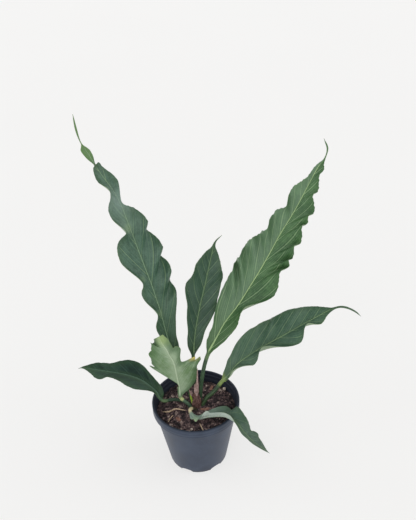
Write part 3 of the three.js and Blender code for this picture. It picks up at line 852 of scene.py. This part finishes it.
def leaf_look(seed, deep, bright, **changes):
    """The plain look with a leaf's own changes, and its colours as paint."""
    look = {**PLAIN_LOOK, "deep": deep, "bright": bright, **changes}
    painted = {key: paint(*v) if type(v) is tuple and len(v) == 3 else v for key, v in look.items()}
    return {**painted, "seed": seed}


def dress_leaf(name, seed, deep, bright, **changes):
    """A fine leaf with its own look, in place of its solid."""
    leaf = LEAVES[name]
    look = leaf_look(seed, deep, bright, vein_gap=leaf["vein_gap"], **changes)
    add_piece("fine_" + name, leaf_shape(leaf), leaf_finish(name, look), name)


print("values in a look:", len(PLAIN_LOOK))

# %% The three tall leaves
dress_leaf(
    "leaf_tall_left", 1, (53, 82, 66), (78, 108, 90), vein_share=0.6, vein_width=1.2, rib=(134, 162, 128),
    bands=[(284, 296, 360, 361, 0.75, (96, 130, 72)), (-2, -1, 50, 120, 0.35, (50, 82, 50))],
    # The two large pale blue-green spots are painted sheen, light on the upper lobes. The three small
    # yellow-green ones are the leaf's own colour.
    spots=[
        ((-84, 58, 376), 28, 0.5, (136, 158, 148)), ((-75, 54, 349), 22, 0.3, (140, 164, 144)),
        ((-74, 52, 341), 9, 0.35, (150, 176, 128)), ((-61, 34, 276), 8, 0.35, (150, 176, 128)),
        ((-43, 28, 226), 8, 0.3, (150, 176, 128)),
    ],
)
dress_leaf("leaf_back", 2, (43, 71, 56), (59, 87, 69), vein_share=0.36, rib_share=0.6)
dress_leaf(
    "leaf_large_right", 3, (49, 85, 49), (75, 112, 68), rich=(62, 100, 50), vein=(160, 186, 142),
    vein_share=0.74, vein_width=1.2, rib=(160, 186, 130), rib_share=0.9, rib_width=0.52,
    # Its left half gets painted sheen, a paler green for the light on it.
    bands=[(-2, -1, 15, 70, 0.65, (54, 88, 42))], bloom_share=0.3,
    # Its stalk is painted a dark green: painted shade, where it stands under the crown.
    stalk=(44, 66, 48), stalk_bright=(62, 88, 60),
)

# %% The four low leaves
dress_leaf(
    "leaf_right_arching", 4, (50, 82, 65), (72, 104, 80), vein_share=0.5,
    bands=[(-2, -1, 30, 70, 0.35, (92, 120, 98))],
    stalk=(40, 62, 40), stalk_bright=(60, 84, 50),
    joint=(150, 170, 92), joint_share=0.6, joint_to=(10, 4),
)
dress_leaf(
    "leaf_front_drooping", 5, (52, 78, 64), (70, 96, 80), vein_share=0.2, rib_share=0.4,
    bands=[(-2, -1, 20, 52, 0.8, (130, 148, 138))],
    spots=[((-2, -35, 93), 9, 0.7, (160, 186, 130))],
    under=(150, 164, 154), under_bright=(172, 184, 174),
    # Its stalk is painted a dark brownish green: painted shade, behind the pale joint.
    stalk=(44, 42, 30), stalk_bright=(70, 68, 46),
    joint=(206, 192, 154), joint_share=0.9, joint_from=(-7, -4), joint_to=(6, 2),
)
# This leaf's dark greens and dark stalk are painted shade, for the shade that it lies in. Its left half
# gets a little painted sheen.
dress_leaf(
    "leaf_left_low", 6, (24, 44, 37), (38, 64, 54), gloss=0.22, bloom_share=0.12,
    vein=(90, 118, 102), vein_share=0.25, rib=(86, 116, 98), rib_share=0.5, margin=(66, 90, 74),
    stalk=(34, 52, 42), stalk_bright=(52, 74, 54),
)
dress_leaf(
    "leaf_pale_torn", 7, (62, 94, 56), (84, 114, 72), vein_share=0.4, vein_width=1.3,
    under=(94, 123, 80), under_bright=(130, 153, 124), under_vein=(168, 186, 156),
    under_share=0.25, under_middle=0.45, under_rim=0.7,
    rib=(182, 198, 168), stalk=(58, 82, 66), stalk_bright=(80, 104, 80),
    joint=(196, 204, 140), joint_share=0.85, joint_from=(-6, -3),
    spots=[
        ((-38, -4, 212), 16, 0.7, (150, 172, 110)), ((-54, -3, 189), 20, 0.8, (80, 114, 66)),
        ((-58, 0, 163), 8, 0.9, (72, 98, 56)), ((10, -2, 174), 9, 0.9, (80, 106, 60)),
        ((2, -6, 180), 12, 0.9, (204, 188, 104)),
    ],
)

# %% [markdown]
# ## The pot
# A nursery pot is moulded thin. Its lip is a skirt with a soft round edge, and its base has
# notches that let water out. The profile is turned round the axis in many steps, as on a lathe,
# with every corner of it rounded first, because no moulded edge is sharp. A ring of points just
# over the notches ends the long faces of the wall there, so the cuts don't disturb its shading.

# %% The measures of the pot
POT_HEIGHT = 100
RIM_RADIUS = 60
LIP_HEIGHT = 12
LIP_THICKNESS = 3
NECK = POT_HEIGHT - LIP_HEIGHT
NECK_RADIUS = 56
BASE_RADIUS = 40.5
WALL = 1.4
FLOOR = 1.8
LIP_INSIDE = RIM_RADIUS - LIP_THICKNESS
LIP_STEP = 5
OVER_NOTCH = 6


def wall_radius(z):
    """The outside of the tapered wall at a height."""
    return BASE_RADIUS + (NECK_RADIUS - BASE_RADIUS) * z / NECK


print("the floor inside the pot, mm across:", round(2 * (wall_radius(FLOOR) - WALL), 1))

# %% Rounding and turning a profile
def rounded(corners, radius=0.7, steps=4):
    """A profile with the corners between its ends rounded off."""
    points = [np.array(p, float) for p in corners]
    result = [points[0]]
    for before, here, after in zip(points, points[1:], points[2:]):
        cut = min(radius, np.linalg.norm(before - here) / 2.2, np.linalg.norm(after - here) / 2.2)
        start = here + unit(before - here) * cut
        end = here + unit(after - here) * cut
        for t in np.linspace(0, 1, steps):
            result.append(start * (1 - t) ** 2 + 2 * here * t * (1 - t) + end * t * t)
    return np.array(result + [points[-1]])


def full_turn(steps):
    """Even angles once round."""
    return np.linspace(0, 2 * np.pi, steps, endpoint=False)


def turned(profile, steps):
    """A closed shape turned round Z from a profile whose ends lie on the axis."""
    turn = full_turn(steps)[:, None]
    r, z = profile[1:-1].T
    rings = np.stack([r * np.cos(turn), r * np.sin(turn), z + 0 * turn], -1)
    places = np.vstack([rings.reshape(-1, 3), [0, 0, profile[0, 1]], [0, 0, profile[-1, 1]]])
    index = np.arange(steps * len(r)).reshape(steps, len(r))
    after = np.roll(index, -1, axis=0)
    bottom, top = len(places) - 2, len(places) - 1
    faces = quads(index[:, :-1], after[:, :-1], after[:, 1:], index[:, 1:]).tolist()
    faces += [[bottom, b, a] for a, b in zip(index[:, 0], after[:, 0])]
    faces += [[top, a, b] for a, b in zip(index[:, -1], after[:, -1])]
    return places, faces, {}


print("points of one rounded corner:", len(rounded([(0, 0), (9, 0), (9, 9)])) - 2)

# %% The pot's profile
pot_profile = rounded([
    (0, 0), (BASE_RADIUS, 0), (wall_radius(OVER_NOTCH), OVER_NOTCH),
    (wall_radius(NECK - 1), NECK - 1), (NECK_RADIUS + 0.4, NECK),
    (RIM_RADIUS - 0.4, NECK), (RIM_RADIUS - 0.3, POT_HEIGHT), (LIP_INSIDE, POT_HEIGHT),
    (LIP_INSIDE - 0.3, POT_HEIGHT - LIP_STEP), (LIP_INSIDE - 1.1, POT_HEIGHT - LIP_STEP - 0.6),
    (LIP_INSIDE - 1.4, NECK + 2), (wall_radius(NECK) - WALL, NECK),
    (wall_radius(OVER_NOTCH) - WALL, OVER_NOTCH), (wall_radius(FLOOR) - WALL, FLOOR), (0, FLOOR),
])
print("points of the pot's profile:", len(pot_profile))

# %% [markdown]
# The notches are cut with a Boolean modifier. It is read back at once as a plain mesh, so the pot
# is one finished piece. Each cutter is a flattened cylinder lying on the floor, which leaves an
# arched opening between two feet.

# %% The pot's notches
POT_STEPS = 192
FOOT_COUNT = 6
NOTCH_WIDTH = 17
NOTCH_HEIGHT = 4.5
NOTCH_DEPTH = 5
FIRST_NOTCH = math.radians(-114)


def notch_cutters(steps=40):
    """The six notches as one set of closed shapes."""
    places, faces = [], []
    turn = full_turn(steps)
    arch = np.stack([NOTCH_WIDTH / 2 * np.cos(turn), NOTCH_HEIGHT * np.sin(turn)], -1)
    for i in range(FOOT_COUNT):
        bearing = FIRST_NOTCH + 2 * math.pi / FOOT_COUNT * i
        outward = np.array([math.cos(bearing), math.sin(bearing), 0])
        sideways = np.array([-outward[1], outward[0], 0])
        start = len(places)
        for reach in (BASE_RADIUS - NOTCH_DEPTH, BASE_RADIUS + NOTCH_DEPTH):
            places += [outward * reach + sideways * x + np.array([0, 0, z]) for x, z in arch]
        for k in range(steps):
            a, b = start + k, start + (k + 1) % steps
            faces.append([a, b, b + steps, a + steps])
        faces.append([start + k for k in reversed(range(steps))])
        faces.append([start + steps + k for k in range(steps)])
    return add_mesh("notches", places, faces)


def carved(piece, cutters):
    """The piece's mesh with the cutters taken out of it. The cutters are used up."""
    cut = piece.modifiers.new("cut", "BOOLEAN")
    cut.object = cutters
    cut.operation = "DIFFERENCE"
    cut.solver = "EXACT"
    bpy.context.view_layer.update()
    result = bpy.data.meshes.new_from_object(piece.evaluated_get(bpy.context.evaluated_depsgraph_get()))
    piece.modifiers.clear()
    bpy.data.objects.remove(cutters)
    return result


print("from notch to notch, mm:", round(2 * math.pi * BASE_RADIUS / FOOT_COUNT, 1))

# %% [markdown]
# The pot is dark blue-grey plastic with a satin skin. Its mould left a very fine grain and two
# faint rings round the lip, and the rings are also painted a little paler, a painted highlight.
# It has been watered and handled, so there are patches of pale dust, more of them low down, and
# thin scratches round it. Shade is painted in: the foot, the corner under the lip and the inside
# of the wall are painted darker, and the top edge is painted dark too.

# %% The pot's finish
LIP_RINGS = ((92.5, 1.2), (97, 0.8))


def pot_finish():
    """Satin plastic with grain, rings with a painted highlight, scratches, dust, painted shade and a dark
    top edge.
    """
    material, wire = new_finish("pot_plastic")
    place = object_place(wire)
    height = wire.node("SeparateXYZ", None, {"Vector": place}, "Z")
    cloud = mottle(wire, 30, 4, 11)
    grain = mottle(wire, 0.35, 2)
    squeezed = wire.node("VectorMath", {"operation": "MULTIPLY"}, {0: place, 1: (1, 1, 9)})
    scratch = wire.node("TexNoise", None, {"Vector": squeezed, "Scale": 90, "Detail": 4}).rise(0.64, 0.72)
    # Painted shade at the foot and in the corner under the lip, and a dark top edge, all blended below to
    # one dark blue.
    foot = height.rise(7 * MM, 0)
    lip_shadow = height.rise((NECK - 8) * MM, (NECK - 1) * MM)
    lip_shadow = lip_shadow * height.rise((NECK + 0.5) * MM, (NECK - 0.5) * MM)
    ring = sum(abs(height - z * MM).rise(width * MM, 0) for z, width in LIP_RINGS)
    top = height.rise((POT_HEIGHT - 0.6) * MM, (POT_HEIGHT - 0.2) * MM)
    dust = cloud.rise(0.45, 0.75) * (0.06 + height.rise(30 * MM, 0) * 0.08)
    plastic = cloud.rise(0.3, 0.7).blend(paint(33, 45, 64), paint(44, 57, 78))
    # The pale lines are the scratches, which are wear, and the two rings, painted paler as a painted
    # highlight.
    plastic = (scratch * 0.14 + ring * 0.1).blend(plastic, paint(112, 122, 138))
    plastic = dust.blend(plastic, paint(116, 120, 126))
    # Painted shade: the foot and the corner under the lip darkened, and the top edge painted dark.
    plastic = (foot * 0.45 + lip_shadow * 0.4 + top * 0.5).blend(plastic, paint(26, 30, 40))
    # The inside of the wall is painted darker: painted shade in the pot's hollow.
    level = wire.node("VectorMath", {"operation": "MULTIPLY"}, {0: place, 1: (1, 1, 0)})
    radius = level.node("VectorMath", {"operation": "LENGTH"}, {0: level}, "Value")
    outside = (BASE_RADIUS + 0.5) * MM + height * ((NECK_RADIUS - BASE_RADIUS) / NECK)
    inside = (outside - radius).rise(0.8 * MM, 1.2 * MM)
    plastic = inside.blend(plastic, paint(30, 36, 50))
    set_shader(
        material,
        Base_Color=plastic,
        Roughness=0.36 + cloud * 0.12 + dust * 0.4 + inside * 0.15,
        Specular_IOR_Level=0.4,
        Normal=relief(wire, grain + scratch * 0.3 + ring * 3, 0.05, 0.5),
    )
    return material


add_piece("moulded_pot", turned(pot_profile, POT_STEPS), pot_finish(), "pot", notch_cutters())

# %% [markdown]
# ## The soil
# The potting mix is coarse: dark peat with chips of bark, bits of red-brown husk and tan crumbs.
# A picture of crumbs on a flat disc would look flat from the side, so the crumbs are made. First
# comes the ground that they lie on, the same low mound as the solid's, from the same noise.

# %% The height of the soil
SOIL_AT_WALL = 84
SOIL_MOUND = 5
SOIL_RELIEF = 1.6
CLODS = ((1, 7, 3), (0.6, 3.5, 8))
GRIT = ((0.8, 1.6, 5), (0.4, 0.7, 2))
SOIL_INSIDE = wall_radius(SOIL_AT_WALL) - WALL
GAP = 0.3


def rough_value(x, y, z):
    """Smooth random hills and hollows, between about -1 and 1."""
    return noise.noise((x, y, z), noise_basis="PERLIN_NEW")


def hills(x, y, layers):
    """Layers of noise added up, each with a strength, a size in millimetres and a place in the noise."""
    return sum(strength * rough_value(x / size, y / size, place) for strength, size, place in layers)


def soil_height(x, y):
    """The height of the soil's top, in millimetres, as in the solid."""
    mound = SOIL_MOUND * (1 - (x * x + y * y) / SOIL_INSIDE ** 2)
    return SOIL_AT_WALL + mound + SOIL_RELIEF * hills(x, y, CLODS)


print("height of the soil in the middle, mm:", round(soil_height(0, 0), 1))

# %% The ground
def ground_shape(rings=72, sectors=180):
    """The plug of soil: a crumbled top, a side that follows the pot and a flat bottom."""
    bottom = FLOOR + GAP
    turn = full_turn(sectors)
    places = [(0, 0, soil_height(0, 0))]
    edge = SOIL_INSIDE - GAP
    for r in np.linspace(0, edge, rings + 1)[1:]:
        for x, y in zip(r * np.cos(turn), r * np.sin(turn)):
            places.append((x, y, soil_height(x, y) + hills(x, y, GRIT)))
    foot = wall_radius(bottom) - WALL - GAP
    places += [(foot * math.cos(t), foot * math.sin(t), bottom) for t in turn]
    index = 1 + np.arange((rings + 1) * sectors).reshape(rings + 1, sectors)
    after = np.roll(index, -1, axis=1)
    faces = quads(index[:-1], index[1:], after[1:], after[:-1]).tolist()
    faces += [[0, a, b] for a, b in zip(index[0], after[0])]
    faces.append(index[-1, ::-1].tolist())
    return np.array(places), faces


ground_places, ground_faces = ground_shape()
solid_top = max(vertex.co.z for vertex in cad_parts["soil"].data.vertices) / MM
print("top of the ground and of the solid, mm:", round(ground_places[:, 2].max(), 1), round(solid_top, 1))

# %% [markdown]
# A crumb is a small ball with its corners pushed in and out, squashed and turned. A fibre is a long
# thin one, and it lies down. Everything random here comes from one seeded source of numbers, so
# that every run gives the same soil.

# %% A ball and its turns
dice = np.random.default_rng(7)


def ball(detail):
    """Places and triangles of a ball of radius 1."""
    built = bmesh.new()
    bmesh.ops.create_icosphere(built, subdivisions=detail, radius=1)
    places = np.array([vertex.co for vertex in built.verts])
    faces = np.array([[vertex.index for vertex in face.verts] for face in built.faces])
    built.free()
    return places, faces


def random_turns(count):
    """Rotation matrices from random quaternions."""
    w, x, y, z = unit(dice.normal(size=(count, 4))).T
    return np.stack([
        1 - 2 * (y * y + z * z), 2 * (x * y - w * z), 2 * (x * z + w * y),
        2 * (x * y + w * z), 1 - 2 * (x * x + z * z), 2 * (y * z - w * x),
        2 * (x * z - w * y), 2 * (y * z + w * x), 1 - 2 * (x * x + y * y),
    ], -1).reshape(count, 3, 3)


def lying_turns(count):
    """Rotation matrices about Z, with a little tilt, for what lies on the ground."""
    bearing = dice.uniform(0, 2 * np.pi, count)
    tilt = dice.normal(0, 0.22, count)
    c, s, ct, st = np.cos(bearing), np.sin(bearing), np.cos(tilt), np.sin(tilt)
    zero = np.zeros(count)
    return np.stack([c * ct, -s, c * st, s * ct, c, s * st, -st, zero, ct], -1).reshape(count, 3, 3)


print("places and faces of a coarse ball:", [len(part) for part in ball(1)])

# %% [markdown]
# Crumbs of one kind are worked out at once as one array, and each is about half sunk in the
# ground. There are four kinds: small crumbs, large ones, chips and fibres, and most are small, as
# in a real mix. Each crumb has one tone of its own, which the finish reads.

# %% Crumbs
# The ground's low tone is painted shade: it darkens the gaps between the crumbs.
SHADED_GROUND_TONE = 0.15
LUMPS = 0.3
SQUASH = (0.4, 1.15)
SINK = (-0.3, 0.5)
FEW_LARGE = 2.2
FEW_PALE = 1.8


def crumbs(count, detail, small, large, long=1.0, thin=1.0):
    """Many crumbs on the ground as one set of places and triangles, with a tone for each place."""
    form, triangles = ball(detail)
    size = small + (large - small) * dice.random(count) ** FEW_LARGE
    lumps = 1 + dice.uniform(-LUMPS, LUMPS, (count, len(form), 1))
    squash = dice.uniform(*SQUASH, (count, 1, 3)) * [long, thin, thin]
    turns = random_turns(count) if long == 1 else lying_turns(count)
    bodies = (form * lumps * squash) @ turns.transpose(0, 2, 1) * size[:, None, None]
    out = (SOIL_INSIDE - 1 - large) * np.sqrt(dice.random(count))
    bearing = dice.uniform(0, 2 * np.pi, count)
    x, y = out * np.cos(bearing), out * np.sin(bearing)
    z = np.array([soil_height(a, b) for a, b in zip(x, y)]) + size * thin * dice.uniform(*SINK, count)
    places = bodies + np.stack([x, y, z], -1)[:, None]
    faces = triangles + len(form) * np.arange(count)[:, None, None]
    tone = np.repeat(dice.random(count) ** FEW_PALE, len(form))
    return places.reshape(-1, 3), faces.reshape(-1, 3).tolist(), tone


def joined(*shapes):
    """Several shapes as one, with their tones."""
    places, faces, tones = [], [], []
    for shape_places, shape_faces, shape_tones in shapes:
        start = sum(len(p) for p in places)
        places.append(shape_places)
        faces += [[corner + start for corner in face] for face in shape_faces]
        tones.append(shape_tones)
    return np.vstack(places), faces, {"tone": np.concatenate(tones)}


soil_shape = joined(
    (ground_places, ground_faces, np.full(len(ground_places), SHADED_GROUND_TONE)),
    crumbs(2200, 1, 0.5, 1.3),
    crumbs(900, 2, 1.0, 2.4),
    crumbs(260, 2, 0.9, 1.5, long=2.6, thin=0.8),
    crumbs(700, 1, 0.8, 1.6, long=3.2, thin=0.35),
)
print("places in the soil:", len(soil_shape[0]))

# %% [markdown]
# The ground under the crumbs has a low tone, which paints shade into the gaps between them, and dry
# husk and bark are tan, so the soil has no single colour. Clods some millimetres wide are darker or
# lighter as a whole, and each crumb shifts a little from its clod. A colour ramp turns the sum into
# peat, husk and bark.

# %% The soil's finish
def soil_finish():
    """Peat, husk and bark from one tone."""
    material, wire = new_finish("peat_and_bark")
    clods = mottle(wire, 7, 2, 3) * 2 + mottle(wire, 2.5, 2, 3) * 0.8
    tone = value_of(wire, "tone") * 0.45 + clods - 1.11
    mix = tone.node("ValToRGB", {"stops": [
        (0.0, paint(26, 21, 24)), (0.3, paint(58, 45, 48)), (0.55, paint(100, 80, 80)),
        (0.75, paint(140, 118, 113)), (0.9, paint(166, 146, 138)), (1.0, paint(190, 172, 162)),
    ]}, {"Fac": tone})
    rough = mottle(wire, 0.7, 4)
    set_shader(material, Base_Color=mix, Roughness=0.75 + rough * 0.25, Normal=relief(wire, rough, 0.4))
    return material


add_piece("crumbled_soil", soil_shape, soil_finish(), "soil")

# %% [markdown]
# ## The bare roots
# Three tan roots lie on the soil. Each is a tube: a ring of points carried along a route. The ring
# is turned from one step to the next as little as possible, so that it never twists. A root is
# thicker at its old end and knobbly all along.

# %% A tube along a route
ROOT_SIDES = 14
ROOT_STEP = 0.4
KNOBBLE = 0.24
BLUNT_END = 0.25


def tube(route, start_radius, end_radius, seed):
    """Places and faces of a closed, slightly uneven tube along a route."""
    distance, places = smooth_route(route)
    steps = int(distance[-1] / ROOT_STEP)
    middle, along = walk(distance, places, np.linspace(0, distance[-1], steps))
    side = unit(np.cross(along[0], (0.3, 0.2, 1)))
    rings = []
    for i in range(steps):
        side = unit(side - side.dot(along[i]) * along[i])
        lift = np.cross(along[i], side)
        share = i / (steps - 1)
        closing = min(1, BLUNT_END + 4 * share, BLUNT_END + 4 * (1 - share))
        radius = (start_radius + (end_radius - start_radius) * share) * closing
        for turn in full_turn(ROOT_SIDES):
            way = side * math.cos(turn) + lift * math.sin(turn)
            rough = rough_value(*(middle[i] * 0.5 + way * 0.7 + seed))
            rings.append(middle[i] + way * radius * (1 + KNOBBLE * rough))
    index = np.arange(steps * ROOT_SIDES).reshape(steps, ROOT_SIDES)
    after = np.roll(index, -1, axis=1)
    faces = quads(index[:-1], after[:-1], after[1:], index[1:]).tolist()
    faces += [index[0, ::-1].tolist(), index[-1].tolist()]
    return np.array(rings), faces, {}


print("rings along a millimetre of root:", 1 / ROOT_STEP)

# %% [markdown]
# Roots, sheaths, bark and perlite are all dry and dull, and differ in colour and in the size of
# their roughness. So one finish serves them all.

# %% The roots
def dry_finish(name, dark, light, size, depth):
    """Dry plant matter: streaky, dull and rough."""
    material, wire = new_finish(name)
    patches = mottle(wire, size, 4)
    rough = mottle(wire, size / 5, 4)
    tone = (patches * 0.6 + rough * 0.4).rise(0.3, 0.68)
    set_shader(
        material, Base_Color=tone.blend(dark, light), Roughness=0.7 + rough * 0.25,
        Normal=relief(wire, patches + rough * 0.5, depth),
    )
    return material


ROOTS = {
    "root_left_long": (1.2, 0.9, [
        (-46, -9, 87.6), (-37, -10.5, 89), (-28, -7, 90.2), (-20, -8.5, 89.8), (-13, -10, 89.2),
    ]),
    "root_left_short": (1.0, 0.7, [(-38, -28, 87), (-34, -21, 88.6), (-31, -16, 88)]),
    "root_front": (0.9, 0.6, [(4.5, -33, 87.8), (7.5, -41, 88.2), (10.5, -49, 86.6)]),
}
root_skin = dry_finish("root_skin", paint(154, 128, 104), paint(212, 188, 160), 2.5, 0.25)
for seed, (name, (thick, thin, route)) in enumerate(ROOTS.items()):
    add_piece("knobbly_" + name, tube(route, thick, thin, seed), root_skin, name)

# %% [markdown]
# ## The crown
# The leaves leave a short stem. It is turned as the pot is, and then each of its points is moved out
# or in by noise. The noise is stretched upward, which gives the torn, upright flakes that the bases
# of older leaves leave behind.

# %% The stem
STEM_RADIUS = 7.5
STEM_BOTTOM = 62
STEM_TOP = 109
STEM_RINGS = 110
STEM_SIDES = 120
FLAKE_DEPTH = 2.4
SCAR_DEPTH = 0.4


def stem_shape():
    """The stem, with the torn bases of old sheaths as upright flakes round its top."""
    table = [
        (STEM_BOTTOM, STEM_RADIUS - 3), (STEM_BOTTOM + 4, STEM_RADIUS), (STEM_TOP - 13, STEM_RADIUS),
        (STEM_TOP - 7, STEM_RADIUS - 0.6), (STEM_TOP - 3, STEM_RADIUS - 2.2),
        (STEM_TOP - 0.8, STEM_RADIUS - 4.8), (STEM_TOP, 0.4),
    ]
    heights = np.linspace(STEM_BOTTOM, STEM_TOP, STEM_RINGS)
    profile = [(r[0], z) for r, z in zip(between(table, heights), heights)]
    places, faces, values = turned(np.array([(0, STEM_BOTTOM), *profile, (0, STEM_TOP)]), STEM_SIDES)
    for place in places[:-2]:
        bearing = unit(place * [1, 1, 0])
        flake = rough_value(*(bearing[:2] * 2.6), place[2] * 0.09)
        flake += 0.5 * rough_value(*(bearing[:2] * 7), place[2] * 0.16)
        place[:2] += bearing[:2] * (FLAKE_DEPTH * flake + SCAR_DEPTH * rough_value(*(place * 0.7)))
    return places, faces, values


stem_bark = dry_finish("stem_bark", paint(50, 32, 32), paint(122, 88, 80), 3, 0.6)
add_piece("scarred_stem", stem_shape(), stem_bark, "stem")

# %% [markdown]
# Two dry, papery sheaths still stand among the stalks, and one young leaf is pushing up, still
# rolled. All three grow as leaves do, so they are made from the same kind of rows.

# %% The sheaths and the young leaf
SHEATHS = {
    "sheath_front": dict(
        stalk=[(1.5, -1, 104), (1.4, -1.2, 108.5)],
        rib=[(1.5, -1.5, 114), (2, -1.5, 121), (3.2, -1.5, 131), (4.6, -1.5, 157)],
        faces=[(0, -0.2, 1, 0), (49, 0.2, 1, 0)],
        left=[(0, 1.4, 0), (6, 4.6, 35), (14, 4.2, 45), (21, 2, 40), (27, 1.2, 30), (49, 0.8, 0)],
        right=[(0, 1.4, 0), (7, 3.6, 40), (15, 4.2, 45), (22, 1.8, 40), (28, 1.1, 30), (49, 0.8, 0)],
        slant=25, vein_gap=3, vein_angle=20, puff=0.15,
    ),
    "sheath_left": dict(
        stalk=[(-4.6, 1.3, 101), (-5.8, 1.5, 106)],
        rib=[(-6.6, 1.7, 110.5), (-8.8, 1.8, 117)],
        faces=[(0, 0.2, 1, 0), (12, 0.2, 1, 0.2)],
        left=[(0, 1.2, 0), (4, 2.6, 35), (8, 1.9, 35), (12, 0.7, 0)],
        right=[(0, 1.2, 0), (4, 2.4, 35), (8, 1.7, 35), (12, 0.7, 0)],
        slant=20, vein_gap=3, vein_angle=20, puff=0.15,
    ),
}
ROLLED = [(0, 1.4, 0), (8, 1.4, 0), (16, 0.6, 0)]
YOUNG_LEAF = dict(
    stalk=[(-4.2, -3.4, 95), (-4.8, -4, 99)],
    rib=[(-6, -4.2, 107), (-7.6, -4.4, 115)],
    faces=[(0, 0, -1, 0.2), (16, 0, -1, 0.2)],
    left=ROLLED, right=ROLLED,
    slant=0, vein_gap=3, vein_angle=20, puff=0.1,
)
paper = dry_finish("sheath_paper", paint(116, 86, 82), paint(184, 158, 152), 3, 0.3)
for name, sheath in SHEATHS.items():
    add_piece("papery_" + name, leaf_shape(sheath, station_gap=0.5), paper, name)
young = leaf_finish("young_leaf", leaf_look(
    8, (120, 144, 44), (162, 180, 70), rich=(120, 148, 40), stalk=(140, 158, 70),
    stalk_bright=(178, 190, 104),
))
add_piece("rolled_young_leaf", leaf_shape(YOUNG_LEAF, station_gap=0.4), young, "shoot_young")

# %% [markdown]
# ## Bark and perlite
# A chip of bark is a worn block: a ball stretched to a box with rounded corners, then roughened
# along its grain. Perlite is volcanic glass that has popped like corn, so its grains are lumpy,
# pale and pitted. Both start from the same fine ball, a little small, to leave room for the bumps.

# %% Chips and grains
BALL_DETAIL = 5
BOXY = 5
CHIP_CORE = 0.93
GRAIN_CORE = 0.94


def roughened(places, amount, stretch, seed):
    """Places moved in and out by noise that is stretched along each axis."""
    moved = []
    for place in places:
        spot = Vector([p * s + seed for p, s in zip(place, stretch)])
        bump = noise.noise(spot) + 0.5 * noise.noise(spot * 2.3) + 0.25 * noise.noise(spot * 5.1)
        moved.append(np.array(place) + unit(np.array(place)) * amount * bump)
    return np.array(moved)


def chip_shape(size, place, turn, seed):
    """A worn block of a size, turned about Z and moved to its place."""
    form, faces = ball(BALL_DETAIL)
    boxed = form / (np.abs(form) ** BOXY).sum(-1, keepdims=True) ** (1 / BOXY)
    block = boxed * np.array(size) / 2 * CHIP_CORE
    block = roughened(block, 0.45, (0.25, 1.4, 1.8), seed)
    c, s = math.cos(math.radians(turn)), math.sin(math.radians(turn))
    return block @ np.array([[c, s, 0], [-s, c, 0], [0, 0, 1]]) + place, faces, {}


CHIPS = {
    "bark_chip_right": ((15, 4, 2.4), (12.2, -8.5, 89), 6),
    "bark_chip_left": ((9, 4.5, 2.2), (-24, -24, 88), -50),
    "bark_chip_back": ((10, 3.6, 2.2), (22, 34, 87.5), 70),
}
GRAINS = {"perlite_right": (2.4, (40, 32, 87)), "perlite_front": (1.7, (-6, -42, 87))}
bark = dry_finish("bark", paint(90, 58, 50), paint(160, 118, 102), 3, 0.5)
for seed, (name, chip) in enumerate(CHIPS.items()):
    add_piece("rough_" + name, chip_shape(*chip, seed), bark, name)
glass = dry_finish("popped_glass", paint(182, 162, 150), paint(226, 212, 200), 1.5, 0.3)
for seed, (name, (radius, place)) in enumerate(GRAINS.items()):
    form, faces = ball(BALL_DETAIL)
    lumpy = roughened(form * radius * GRAIN_CORE, 0.4, (0.9, 0.9, 0.9), seed + 5)
    add_piece("lumpy_" + name, (lumpy + place, faces, {}), glass, name)

# %% [markdown]
# ## The end
# The dressed part has to stay the size that it was built.
